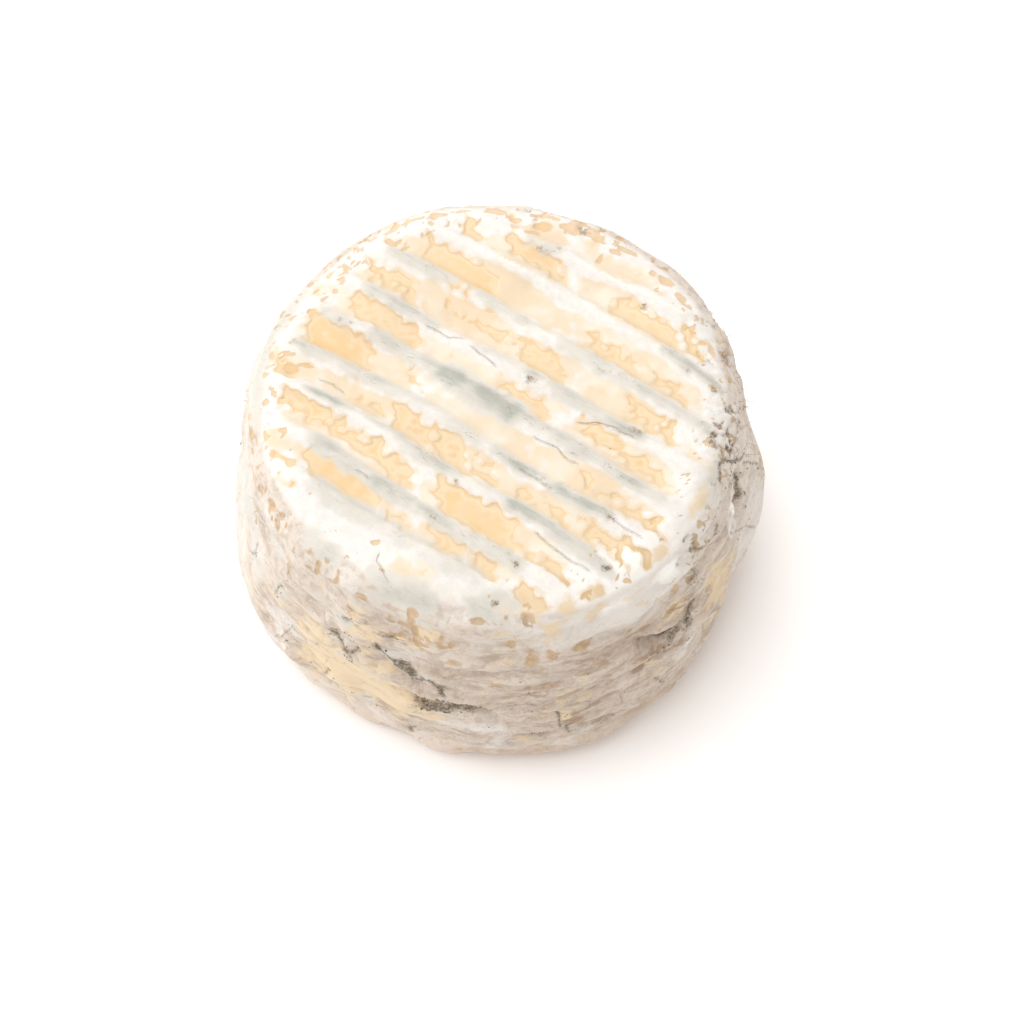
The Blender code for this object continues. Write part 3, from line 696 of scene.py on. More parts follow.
def window_inside(points, across):
    """How far inside the nearest window each place is: a rounded box's distance, negative outside."""
    x = points[:, 0]
    inside = np.full(len(points), -9.0)
    for start, end, low, high, bare in WINDOWS:
        from_sides = np.abs(x - (start + end) / 2) * 0.85 - (end - start) * 0.42
        from_ends = np.abs(across - (low + high) / 2) - (high - low) / 2
        outside = np.hypot(np.maximum(from_sides, 0.0), np.maximum(from_ends, 0.0))
        distance = outside + np.minimum(np.maximum(from_sides, from_ends), 0.0)
        inside = np.maximum(inside, np.minimum(0.9 * bare - distance, 2.2 * bare) - 0.55)
    return inside


def top_cover(points, along, across, slow, quick):
    """How bare the top is and how thin its film, both above 0 where they show, in about millimetres from
    their edges. Bloom hangs into the lanes in round lobes, and its lower edge is soft: gives that as well."""
    radius = radius_of(points)
    ridge = np.min(np.abs(ridge_offsets(along, across)), axis=0)
    lane = lane_share(along, across)
    racked = np.stack((along / 1.2, across), 1)
    lobes = seed_distance(racked, LOBE_SPACING, seed=41) - 0.5 * LOBE_SPACING
    small_lobes = seed_distance(racked, LOBE_SPACING * 0.5, seed=43) - 0.25 * LOBE_SPACING
    lobed = 1.05 * lobes + 0.6 * small_lobes + 0.12 * quick

    rim = smooth_step(33.0, 37.5, radius)
    from_lane = -1.35 + 0.55 * slow + 0.3 * quick - 0.5 * lane + 0.35 * rim
    inside = np.maximum(window_inside(points, across), from_lane)
    edge = 38.5 + 2.5 * bell(angle_between(-62.0, azimuth_of(points)), 30.0)
    inside -= 1.1 * bell(ridge, 0.95) + 2.0 * smooth_step(edge, edge + 3.0, radius)
    bare = 0.9 * inside + lobed * (1.0 - 0.5 * smooth_step(0.4, 1.4, inside))

    white = 1.25 * smooth_step(0.66, 0.92, lane) + 1.3 * bell(ridge, 1.3) + 0.9 * rim
    white += 1.3 * plan_patches(BLOOM_PATCHES, points) - 0.8 * plan_patches(WARM_PATCHES, points)
    for place_x, reach, strength in CROSS_BARS:
        white += strength * bell(points[:, 0] - place_x, reach)
    film = 1.05 - white + 0.8 * slow + 0.2 * quick + 0.5 * lobes
    soft = (1.0 - smooth_step(0.22, 0.5, lane)) * (1.0 - rim)
    return bare, np.maximum(film, bare + 0.1), soft


def spot(points, place, long, wide, turn):
    """A bell of an elongated spot in plan, with its long half width turned to an angle."""
    east, north = points[:, 0] - place[0], points[:, 1] - place[1]
    lengthwise = east * math.cos(turn) + north * math.sin(turn)
    sideways = -east * math.sin(turn) + north * math.cos(turn)
    return bell(lengthwise, long) * bell(sideways, wide)


def side_creases(points):
    """The side's fine wrinkles, wide ones and then small ones: each passes 0 in the bottom of a crease."""
    swirled = warped(points, 5.0, 1.1, seed=61)
    return [
        lattice_noise(swirled, (round_length, round_length, up_length), seed, 2)
        for (round_length, up_length), seed in ((CREASE_LENGTHS, 67), (PUCKER_LENGTHS, 71))
    ]


def torn_rind(points):
    """How torn the rind is, from 0 to 1, and the lumps' own height there, from about -1 to 1."""
    table = [(centre, level, 1.3 * reach, reach, strength) for centre, level, reach, strength in TORN_RIND]
    torn = side_patches(table, azimuth_of(points), points[:, 2]) * smooth_step(33.5, 37.5, radius_of(points))
    return torn, lattice_noise(warped(points, 2.0, 0.5, seed=97), (2.0, 2.0, 1.5), seed=101)


def grey_mould(points, up, slow, quick):
    """Grey-blue mould: patchy streaks along the ridges, the front shoulder, the far rim and the side."""
    along, across = rack_axes(points)
    azimuth, from_edge = azimuth_of(points), radius_of(points) - 40.0
    clumps = 1.0 + 0.35 * lattice_noise(points, 4.5, seed=89)
    mould = np.zeros(len(points))
    for ridge, start, end, strength, width in MOULD_STREAKS:
        offset = across - course(along, RIDGE_COURSES[ridge]) - 0.15 + 0.35 * slow
        reach = smooth_step(-2.0, 2.5, along - start) * smooth_step(-2.0, 2.5, end - along)
        mould = np.maximum(mould, strength * reach * clumps * bell(offset, width * (0.88 + 0.25 * quick)))
    front = smooth_step(-66.0, -86.0, azimuth) * smooth_step(-150.0, -130.0, azimuth)
    front *= 0.72 * bell(from_edge, 3.0) * smooth_step(-0.7, 0.4, slow)
    far = 0.75 * bell(angle_between(165.0, azimuth), 26.0) + 0.5 * bell(angle_between(-16.0, azimuth), 16.0)
    shoulder = np.maximum(front, far * bell(from_edge, 2.2))
    mould = np.maximum(1.12 * mould, shoulder) * smooth_step(0.1, 0.7, up)
    on_side = side_patches(SIDE_GREY, azimuth, points[:, 2]) * (1.0 + 0.4 * quick) * smooth_step(0.9, 0.5, up)
    return np.maximum(mould, on_side)


def top_stains(points, frayed, slow, flecks):
    """Brown stains of the top: small flecks near the rim, the placed ones, and tears along the far rim."""
    azimuth, radius = azimuth_of(points), radius_of(points)
    worn = 0.55 - 0.30 * bell(angle_between(135.0, azimuth), 45.0)
    worn += 0.30 * bell(angle_between(-105.0, azimuth), 45.0)
    stain = 0.9 * smooth_step(33.0, 35.5, radius) * smooth_step(worn, worn + 0.35, flecks)
    for place_x, place_y, long, wide, strength in RIM_STAINS:
        turn = math.atan2(place_x, -place_y)
        stain = np.maximum(stain, strength * spot(frayed, (place_x, place_y), 1.3 * long, 1.4 * wide, turn))
    tear = bell(radius - 38.0 + 0.9 * slow, 0.55)
    tear *= smooth_step(-0.05, 0.35, lattice_noise(points, 2.6, seed=103, octaves=2))
    tear *= smooth_step(0.0, 20.0, azimuth) * smooth_step(150.0, 110.0, azimuth)
    return np.maximum(stain, 0.95 * tear)


def seams(points, on_top):
    """The signed distance from the nearest crack or seam, how near and strong it is, and its dark mould."""
    bent = warped(points, 4.0, 0.45, seed=83)
    bent_azimuth, on_rim = azimuth_of(bent), radius_of(points) > 25.0
    distances = [line_distance(bent[:, :2], places) for places in CRACKS]
    seam = on_top * np.max([bell(distance, SEAM_HALF_WIDTH) for distance in distances], axis=0)
    dark = np.zeros(len(points))
    for width, strength, places in SIDE_SEAMS:
        start = places[0][0]
        flat = np.stack((arc_from(start, bent_azimuth), bent[:, 2]), 1)
        distance = line_distance(flat, [(arc_from(start, turn), level) for turn, level in places])
        distance = np.where(on_rim, distance, 99.0)
        seam = np.maximum(seam, strength * bell(distance, SEAM_HALF_WIDTH))
        dark = np.maximum(dark, 0.68 * strength * bell(distance, 1.15 * width))
        distances.append(distance)
    nearest = np.argmin(np.abs(distances), axis=0)
    from_seam = np.take_along_axis(np.stack(distances), nearest[None], 0)[0]
    return np.clip(from_seam, -2.0, 2.0), seam, dark


def rind_fields(points, normals, torn, lumps):
    """Everything that the finish is painted by, as one number at each vertex."""
    along, across = rack_axes(points)
    azimuth, radius, height = azimuth_of(points), radius_of(points), points[:, 2]
    up = normals[:, 2]
    lower = 0.42 * bell(angle_between(-55.0, azimuth), 34.0)
    on_top = smooth_step(0.70 - lower, 0.99 - 0.7 * lower, up + 0.03 * lattice_noise(points, 3.5, seed=83))
    side = 1.0 - on_top
    slow = lattice_noise(points, 7.0, seed=31)
    quick = lattice_noise(points, 2.2, seed=37)
    flecks = lattice_noise(warped(points, 1.4, 0.5, seed=113), 1.15, seed=127, octaves=2)
    frayed = warped(points, 1.5, 0.42, seed=73)
    frayed_side = (azimuth_of(frayed), frayed[:, 2])
    bare, film, soft = top_cover(points, along, across, slow, quick)
    from_seam, seam, dark = seams(points, on_top)

    for place_x, place_y, width, strength in TOP_SPOTS:
        blot = spot(frayed, (place_x, place_y), 1.6 * width, width, RIDGE_ANGLE)
        dark = np.maximum(dark, 0.62 * strength * blot * on_top)
    dark = np.maximum(dark, 0.85 * side * side_patches(SIDE_MOULD, *frayed_side))
    dark = np.maximum(dark, 0.75 * torn * smooth_step(-0.15, -0.65, lumps))

    fleck_share = np.minimum(1.3 * side_patches(FLECK_ZONES, azimuth, height), 1.0)
    stain = fleck_share * smooth_step(0.15, 0.60, flecks)
    stain = np.maximum(stain, on_top * top_stains(points, frayed, slow, flecks))
    spots = [(centre, level, 1.15 * wide, 1.15 * tall, 0.95) for centre, level, wide, tall in SIDE_SPOTS]
    stain = np.maximum(stain, side * side_patches(spots, *frayed_side) * (1.0 + 0.6 * quick + 0.5 * flecks))

    crease, pucker = side_creases(points)
    # White mould of the side, with painted highlights on the fold's lip and a crease, and painted floor light
    # along the foot.
    white = side_patches(SIDE_BLOOM_AND_HIGHLIGHT, azimuth, height) + 0.3 * lattice_noise(points, 6.0, seed=109)
    side_paste = side_patches(SIDE_PASTE, azimuth, height, 1.0)
    # Duller, browner places of the side, partly painted shade on the lower front right.
    dull_and_shade = side_patches(SIDE_DULL_AND_SHADE, azimuth, height)
    # Painted highlight: the front-right shoulder, which faces away from the key light, is painted lighter.
    painted_highlight = bell(angle_between(-58.0, azimuth), 22.0)
    return {
        "bare": bare * on_top - 2.0 * side - 2.0 * torn,
        "film": film * on_top - 1.0 * side - 1.5 * torn,
        "soft": soft * on_top,
        "warm": plan_patches(WARM_PATCHES, points),
        "mould": grey_mould(points, up, slow, quick),
        "dark": dark,
        "stain": stain,
        "seam": seam,
        "from_seam": from_seam,
        "from_ridge": nearest_ridge(along, across),
        "crease": crease,
        "pucker": pucker,
        "white": white * side,
        "torn": torn,
        "painted_highlight": painted_highlight * smooth_step(34.0, 39.0, radius) * smooth_step(35.0, 41.0, height),
        "dull_and_shade": dull_and_shade * (1.0 + 0.25 * quick),
        "side": side,
        "side_paste": side_paste + (0.30 * slow + 0.16 * quick - 0.05) * side,
    }


def wheel_relief(points, normals, fields, lumps):
    """How far each point of the drum moves along its normal: the solid's ridges, folds, wrinkles, dimples
    and grooves, then the bloom's thickness, cracks and fine wrinkles."""
    azimuth, radius, height = azimuth_of(points), radius_of(points), points[:, 2]
    up = normals[:, 2]
    along, across = rack_axes(points)
    on_top = smooth_step(0.45, 0.95, up)
    on_base = smooth_step(0.90, 0.999, -up)
    on_side = (1.0 - on_top) * smooth_step(0.15, 3.0, height)

    ridge = ridge_bell(along, across) * (1.0 - smooth_step(*RIDGE_FADE, radius))
    fibres = lattice_noise(np.stack((along / 7.0, across / 0.9, height / 3.0), 1), 1.0, seed=53)
    bloom = 1.0 - smooth_step(-0.45, 0.55, fields["bare"])
    stained = smooth_step(0.3, 1.0, fields["stain"])
    top = ridge * (RIDGE_HEIGHT + 0.08 * fibres)
    top += DIMPLE_HEIGHT * wave_noise(points, 2.0 * DIMPLE_LENGTH, NOISE_SEED)
    top += BLOOM_THICKNESS * (bloom - 1.0) + 0.10 * lattice_noise(points, 3.0, seed=59) * bloom
    top -= 0.7 * SEAM_DEPTH * fields["seam"] + 0.12 * stained

    round_length, up_length = WRINKLE_LENGTHS
    lengths = np.array((round_length, round_length, up_length))
    side = fold_relief(azimuth, height)
    side += WRINKLE_HEIGHT * wave_noise(points, lengths, NOISE_SEED + 1)
    side += DIMPLE_HEIGHT * wave_noise(points, DIMPLE_LENGTH, NOISE_SEED + 2)
    rough = (0.65 + 0.35 * lattice_noise(points, 12.0, seed=107, octaves=1)) * smooth_step(47.0, 39.0, height)
    rough += 0.5 * bell(angle_between(-45.0, azimuth), 18.0)
    rough += 0.4 * bell(angle_between(-125.0, azimuth), 22.0)
    for name, amount in (("crease", CREASE_HEIGHT), ("pucker", PUCKER_HEIGHT)):
        side += rough * amount * (0.6 - 1.5 * np.exp(-np.abs(fields[name]) / 0.30))
    side -= 0.16 * stained + 0.20 * smooth_step(0.3, 1.0, fields["dark"]) + SEAM_DEPTH * fields["seam"]
    torn = 0.75 * fields["torn"] * (lumps - 0.2)
    return on_top * top + on_side * side + on_base * base_relief(points) + torn


def shaped_wheel():
    """The wheel's surface in metres, in the frame's place, with its faces and its fields."""
    points, normals, quads, triangles = drum_surface()
    torn, lumps = torn_rind(points)
    fields = rind_fields(points, normals, torn, lumps)
    moved = points + normals * wheel_relief(points, normals, fields, lumps)[:, None]
    azimuth, height = azimuth_of(points), points[:, 2]
    outward = smooth_step(0.4, 1.0, radius_of(points) / WIDEST_RADIUS) * smooth_step(*SWELLING_START, height)
    swelling = outward * swelling_relief(azimuth, height)
    moved[:, 0] += np.cos(np.radians(azimuth)) * swelling
    moved[:, 1] += np.sin(np.radians(azimuth)) * swelling
    moved[:, 2] = np.maximum(moved[:, 2], 0.0)
    middle = (moved[:, :2].min(axis=0) + moved[:, :2].max(axis=0)) / 2
    cad_middle = np.array(((CAD_LOW.x + CAD_HIGH.x) / 2, (CAD_LOW.y + CAD_HIGH.y) / 2)) / MM
    moved[:, :2] += cad_middle - middle
    return moved * MM, quads, triangles, fields


def new_mesh(name, points, faces, fields=None):
    """A smooth mesh object at the origin from arrays of points and faces, with its fields as attributes."""
    mesh = bpy.data.meshes.new(name)
    mesh.from_pydata(points.tolist(), [], [face for part in faces for face in part.tolist()])
    for field, values in (fields or {}).items():
        attribute = mesh.attributes.new(field, "FLOAT", "POINT")
        attribute.data.foreach_set("value", np.asarray(values, np.float32))
    mesh.shade_smooth()
    mesh.update()
    thing = bpy.data.objects.new(name, mesh)
    bpy.context.scene.collection.objects.link(thing)
    return thing


def capped_faces(count, rings, around):
    """Quads and triangles of many closed bodies, each of rings of vertices between two pole vertices."""
    ring = 1 + np.arange(rings * around).reshape(rings, around)
    following = np.roll(ring, -1, axis=1)
    last = rings * around + 1
    quads = np.stack((ring[:-1], following[:-1], following[1:], ring[1:]), -1).reshape(-1, 4)
    start_cap = np.stack((np.zeros(around, int), following[0], ring[0]), -1)
    end_cap = np.stack((np.full(around, last), ring[-1], following[-1]), -1)
    offsets = (last + 1) * np.arange(count)[:, None, None]
    return (quads + offsets).reshape(-1, 4), (np.vstack((start_cap, end_cap)) + offsets).reshape(-1, 3)


def capped_bodies(name, spines, sides, ups, widths, heights, around):
    """One mesh of many closed bodies. Along each spine runs an ellipse, with its half width along the side
    vector and its half height along the up vector, and a point closes each end. Arrays run over the
    bodies, the steps along each, and x, y and z; all in metres."""
    turn = 2.0 * np.pi * np.arange(around) / around
    across = np.cos(turn)[:, None] * sides[:, :, None] * widths[:, :, None, None]
    upward = np.sin(turn)[:, None] * ups[:, :, None] * heights[:, :, None, None]
    rings = spines[:, 1:-1, None] + (across + upward)[:, 1:-1]
    count, steps = rings.shape[:2]
    bodies = np.concatenate((spines[:, :1], rings.reshape(count, -1, 3), spines[:, -1:]), 1)
    return new_mesh(name, bodies.reshape(-1, 3), capped_faces(count, steps, around))


def on_wheel(azimuths, heights, draw):
    """Places on the finished wheel nearest to azimuths and heights, with three axes at each: one along the
    surface in a random direction, one across it, and the outward normal."""
    mesh = bpy.data.objects["wheel_rind"].data
    tree = BVHTree.FromPolygons([v.co for v in mesh.vertices], [p.vertices for p in mesh.polygons])
    turns = np.radians(azimuths)
    reach = WIDEST_RADIUS + 6.0 - np.maximum(0.0, heights - HEIGHT + SHOULDER_ROUNDING)
    starts = np.stack((reach * np.cos(turns), reach * np.sin(turns), heights), 1) * MM
    found = [tree.find_nearest(Vector(start)) for start in starts]
    places = np.array([tuple(place) for place, _, _, _ in found])
    normals = np.array([tuple(normal) for _, normal, _, _ in found])
    along = np.cross(normals, draw.normal(size=normals.shape))
    along /= np.linalg.norm(along, axis=1)[:, None]
    return places, along, np.cross(normals, along), normals


def from_screen(red, green, blue):
    """A scene-linear colour from the 0 to 255 values that a screen shows."""
    channels = np.array((red, green, blue)) / 255.0
    linear = np.where(channels <= 0.04045, channels / 12.92, ((channels + 0.055) / 1.055) ** 2.4)
    return tuple(float(value) for value in linear)


def add_node(tree, kind, inputs=None, **settings):
    """A new node with its settings, and its inputs linked or set by name or number."""
    node = tree.nodes.new(kind)
    for name, value in settings.items():
        setattr(node, name, value)
    for key, value in (inputs or {}).items():
        if isinstance(value, bpy.types.NodeSocket):
            tree.links.new(value, node.inputs[key])
        else:
            node.inputs[key].default_value = value
    return node


def chained(tree, operation, values):
    """One operation of arithmetic carried along a list of values."""
    result = values[0]
    for value in values[1:]:
        result = add_node(tree, "ShaderNodeMath", {0: result, 1: value}, operation=operation).outputs[0]
    return result


def times(tree, *values):
    """The product of values."""
    return chained(tree, "MULTIPLY", values)


def plus(tree, *values):
    """The sum of values."""
    return chained(tree, "ADD", values)


def minus(tree, *values):
    """The first value less the others."""
    return chained(tree, "SUBTRACT", values)


def rise(tree, value, low, high, start=0.0, end=1.0):
    """A value carried smoothly from start to end while another goes from low to high."""
    inputs = {"Value": value, "From Min": low, "From Max": high, "To Min": start, "To Max": end}
    return add_node(tree, "ShaderNodeMapRange", inputs, interpolation_type="SMOOTHSTEP").outputs["Result"]


def thin_line(tree, distance, inner, outer):
    """1 where a signed distance is near 0, and 0 past the outer distance on both sides."""
    size = add_node(tree, "ShaderNodeMath", {0: distance}, operation="ABSOLUTE").outputs[0]
    return rise(tree, size, inner, outer, 1.0, 0.0)


def blend(tree, share, first, second):
    """Two colours mixed by a share from 0 to 1."""
    first, second = (
        tone if isinstance(tone, bpy.types.NodeSocket) else (*tone, 1.0) for tone in (first, second)
    )
    return add_node(tree, "ShaderNodeMix", {0: share, 6: first, 7: second}, data_type="RGBA").outputs[2]


def layered(tree, colour, *layers):
    """A colour with others laid over it in turn, each by its share from 0 to 1."""
    for share, tone in layers:
        colour = blend(tree, share, colour, tone)
    return colour


def mixed(tree, share, first, second):
    """Two values mixed by a share from 0 to 1."""
    return add_node(tree, "ShaderNodeMix", {0: share, 2: first, 3: second}, data_type="FLOAT").outputs[0]


def field(tree, name):
    """A field of the piece, read from its attribute."""
    return add_node(tree, "ShaderNodeAttribute", attribute_name=name).outputs["Fac"]


def noise(tree, vector, scale, detail=2.0, roughness=0.5, distortion=0.0):
    """Noise from 0 to 1 at a scale in cells for each millimetre."""
    inputs = {"Vector": vector, "Scale": scale, "Detail": detail}
    inputs |= {"Roughness": roughness, "Distortion": distortion}
    return add_node(tree, "ShaderNodeTexNoise", inputs).outputs["Fac"]


def millimetres(tree, turn=0.0, stretch=(1.0, 1.0, 1.0)):
    """Object coordinates in millimetres along axes turned about the vertical, divided by each axis's
    stretch."""
    place = add_node(tree, "ShaderNodeTexCoord").outputs["Object"]
    scale = tuple(value * MM for value in stretch)
    inputs = {"Vector": place, "Rotation": (0.0, 0.0, turn), "Scale": scale}
    return add_node(tree, "ShaderNodeMapping", inputs, vector_type="TEXTURE").outputs["Vector"]


def stretched_noise(tree, stretch, detail, roughness, distortion=0.0, turn=0.0):
    """Noise from 0 to 1 whose cells are as long along each turned axis as its stretch in millimetres."""
    return noise(tree, millimetres(tree, turn, stretch), 1.0, detail, roughness, distortion)


def new_group(name, inputs, outputs):
    """An empty shader node group with named inputs (numbers with defaults, or vectors) and outputs."""
    group = bpy.data.node_groups.new(name, "ShaderNodeTree")
    for title, default in inputs:
        kind = "NodeSocketFloat" if isinstance(default, float) else "NodeSocketVector"
        socket = group.interface.new_socket(name=title, in_out="INPUT", socket_type=kind)
        if isinstance(default, float):
            socket.default_value = default
    for title in outputs:
        group.interface.new_socket(name=title, in_out="OUTPUT", socket_type="NodeSocketFloat")
    return group, group.nodes.new("NodeGroupInput"), group.nodes.new("NodeGroupOutput")


def velvet_group():
    """Velvety mould: a fine even grain over soft tufts. Puts out a tone about 0.5 and a height."""
    if "velvet" in bpy.data.node_groups:
        return bpy.data.node_groups["velvet"]
    inputs = (("Vector", None), ("Grain", 3.4), ("Tufts", 0.9))
    group, entry, leave = new_group("velvet", inputs, ("Tone", "Height"))
    grain = noise(group, entry.outputs["Vector"], entry.outputs["Grain"], 3.0, 0.6)
    tufts = noise(group, entry.outputs["Vector"], entry.outputs["Tufts"], 3.0, 0.55, 0.3)
    for name, share in (("Tone", 0.4), ("Height", 0.35)):
        result = plus(group, times(group, grain, share), times(group, tufts, 1.0 - share))
        group.links.new(result, leave.inputs[name])
    return group


def velvet(tree, vector, grain, tufts):
    """The velvet group placed in a material, with its own sizes in cells for each millimetre."""
    inputs = {"Vector": vector, "Grain": grain, "Tufts": tufts}
    return add_node(tree, "ShaderNodeGroup", inputs, node_tree=velvet_group())


def new_material(name, roughness):
    """A material with an empty Principled shader of the given roughness."""
    material = bpy.data.materials.new(name)
    material.use_nodes = True
    shader = material.node_tree.nodes["Principled BSDF"]
    shader.inputs["Roughness"].default_value = roughness
    return material, material.node_tree, shader


def add_bump(tree, shader, height, strength, distance):
    """Bends the shader's normal by a height."""
    bump = add_node(tree, "ShaderNodeBump", {"Strength": strength, "Distance": distance, "Height": height})
    tree.links.new(bump.outputs["Normal"], shader.inputs["Normal"])


def rind_material(colours):
    """The whole surface: bloom, film and bare paste on top, mould along the ridges, the velvet of the
    side with its tan patches, and dark mould, stains and cracks over all."""
    material, tree, shader = new_material("rind", 0.75)
    at = {name: field(tree, name) for name in FIELD_NAMES}
    side = at["side"]
    place = millimetres(tree)
    level = add_node(tree, "ShaderNodeSeparateXYZ", {"Vector": place}).outputs["Z"]
    fine = noise(tree, place, 2.6, 3.0, 0.6)
    middle = noise(tree, place, 0.55, 3.0, 0.55, 0.4)
    slow = noise(tree, place, 0.14, 2.0, 0.5)
    mottle = noise(tree, place, 0.8, 3.0, 0.6, 0.3)
    fibres = stretched_noise(tree, (3.0, 0.5, 1.0), 3.0, 0.6, 0.6, RIDGE_ANGLE)
    streaks = stretched_noise(tree, (3.4, 3.4, 1.3), 3.0, 0.6, 0.6)
    blotches = stretched_noise(tree, (11.0, 11.0, 6.0), 3.0, 0.55, 0.6)
    grain = velvet(tree, place, 3.4, 0.9)
    tone = grain.outputs["Tone"]
    ragged = minus(tree, plus(tree, times(tree, fine, 0.24), times(tree, middle, 0.4)), 0.32)

    # The top: bloom, the thin film, and bare paste with a golden edge, which is partly painted shade of the
    # bloom's step along its crisp edges.
    bare = plus(tree, at["bare"], ragged)
    film = plus(tree, at["film"], times(tree, ragged, 0.6))
    is_bare = mixed(tree, at["soft"], rise(tree, bare, -0.05, 0.12), rise(tree, bare, -0.65, 0.50))
    is_film = rise(tree, film, -0.45, 0.60)
    # The golden edge: paste colour and painted shade of the bloom's step.
    golden_edge_and_shade = times(tree, rise(tree, bare, 0.15, 0.75, 1.0, 0.0), mixed(tree, at["soft"], 0.65, 0.12))
    warm = plus(tree, rise(tree, slow, 0.38, 0.62, 0.0, 0.8), times(tree, at["warm"], 0.9))
    paste = layered(
        tree, colours.paste_peach,
        (rise(tree, bare, 0.75, 1.5), colours.paste),
        (times(tree, rise(tree, slow, 0.4, 0.65), 0.5), colours.paste_peach),
        (golden_edge_and_shade, colours.paste_edge),
    )
    top = layered(
        tree, colours.bloom_shade,
        (rise(tree, tone, 0.35, 0.65), colours.bloom),
        (is_film, blend(tree, warm, colours.film, colours.film_peach)),
        # Painted highlight on the front-right shoulder's top.
        (times(tree, at["painted_highlight"], 0.7), colours.lip),
        (times(tree, rise(tree, bare, -0.62, -0.40), mixed(tree, is_film, 0.25, 0.75)), colours.film_peach),
        (is_bare, paste),
    )

    # Grey-blue mould, with dark grit and thin broken threads along the ridges.
    mould = times(tree, at["mould"], rise(tree, fibres, 0.30, 0.66, 0.86, 1.08))
    is_mould = rise(tree, mould, 0.14, 0.48)
    grit = rise(tree, noise(tree, place, 3.2, 2.0, 0.7), 0.58, 0.72)
    wiggle = stretched_noise(tree, (4.0, 1.6, 1.0), 2.0, 0.6, turn=RIDGE_ANGLE)
    from_thread = plus(tree, at["from_ridge"], rise(tree, wiggle, 0.3, 0.7, -1.6, 1.6))
    broken = rise(tree, stretched_noise(tree, (5.0, 3.0, 3.0), 2.0, 0.6, turn=RIDGE_ANGLE), 0.50, 0.62)
    thread = times(tree, thin_line(tree, from_thread, 0.05, 0.22), broken, rise(tree, mould, 0.25, 0.6))
    mould_colour = layered(
        tree, colours.mould,
        (rise(tree, mould, 0.40, 1.25), colours.mould_deep),
        (times(tree, grit, rise(tree, mould, 0.3, 0.9), 0.4), colours.mould_halo),
        (times(tree, thread, 0.6), colours.mould_halo),
    )

    # The side's velvet: streaks, white mould with painted highlights and painted floor light, duller places
    # partly of painted shade, brown dashes, and painted warm shade near the floor.
    whiteness = plus(tree, rise(tree, blotches, 0.44, 0.66), rise(tree, level, 38.0, 47.0, 0.0, 0.75))
    whiteness = add_node(tree, "ShaderNodeClamp", {"Value": whiteness}).outputs[0]
    white = plus(tree, at["white"], times(tree, ragged, 1.2))
    dull_and_shade = plus(tree, at["dull_and_shade"], times(tree, ragged, 0.8))
    dashes = rise(tree, stretched_noise(tree, (3.6, 3.6, 1.6), 3.0, 0.6, 0.7), 0.51, 0.62)
    mottled = times(tree, rise(tree, mottle, 0.52, 0.36), rise(tree, white, 0.3, 1.0, 0.45, 0.12))
    side_colour = layered(
        tree, colours.side_shade,
        (rise(tree, streaks, 0.28, 0.56), colours.side),
        (times(tree, rise(tree, fine, 0.52, 0.34), 0.35), colours.side_shade),
        (times(tree, whiteness, 0.6), colours.side_white),
        # White mould, partly painted highlight and painted floor light.
        (times(tree, rise(tree, white, 0.25, 0.75), 0.8), colours.side_bloom_and_highlight),
        (mottled, colours.side_shade),
        (rise(tree, dull_and_shade, 0.15, 1.0, 0.0, 0.75), colours.side_shade),
        (times(tree, dashes, rise(tree, dull_and_shade, 0.05, 0.45), 0.62), colours.crack),
        # Painted highlight on the front-right shoulder's side.
        (times(tree, at["painted_highlight"], 0.75), colours.side_bloom_and_highlight),
        # The fold's lip whitened past its mould as painted highlight.
        (rise(tree, white, 1.1, 1.8), colours.lip),
        # Painted warm contact shade near the floor.
        (rise(tree, level, 10.0, 0.0, 0.0, 0.5), colours.foot),
    )
    streaked = times(tree, rise(tree, streaks, 0.35, 0.65, -0.30, 0.30), side)
    side_bare = plus(tree, at["side_paste"], times(tree, ragged, 1.5), streaked)

    # Stains, cracks, brown painted shade along the wrinkles' creases, and dark mould.
    stain = plus(tree, at["stain"], times(tree, ragged, 0.7))
    side_stain = layered(
        tree, colours.stain_edge,
        (rise(tree, middle, 0.40, 0.62), colours.stain),
        (times(tree, rise(tree, fine, 0.55, 0.38), 0.25), colours.crack),
    )
    top_stain = blend(tree, rise(tree, stain, 0.35, 0.80), colours.stain_edge, colours.paste_edge)
    stain_colour = blend(tree, rise(tree, side, 0.2, 0.8), top_stain, side_stain)
    from_seam = plus(tree, at["from_seam"], times(tree, ragged, 0.5))
    crack = times(
        tree, thin_line(tree, from_seam, 0.02, 0.24), rise(tree, at["seam"], 0.2, 0.8),
        rise(tree, noise(tree, place, 0.9, 3.0, 0.7), 0.44, 0.60), rise(tree, side, 0.2, 0.8, 0.32, 0.5),
    )
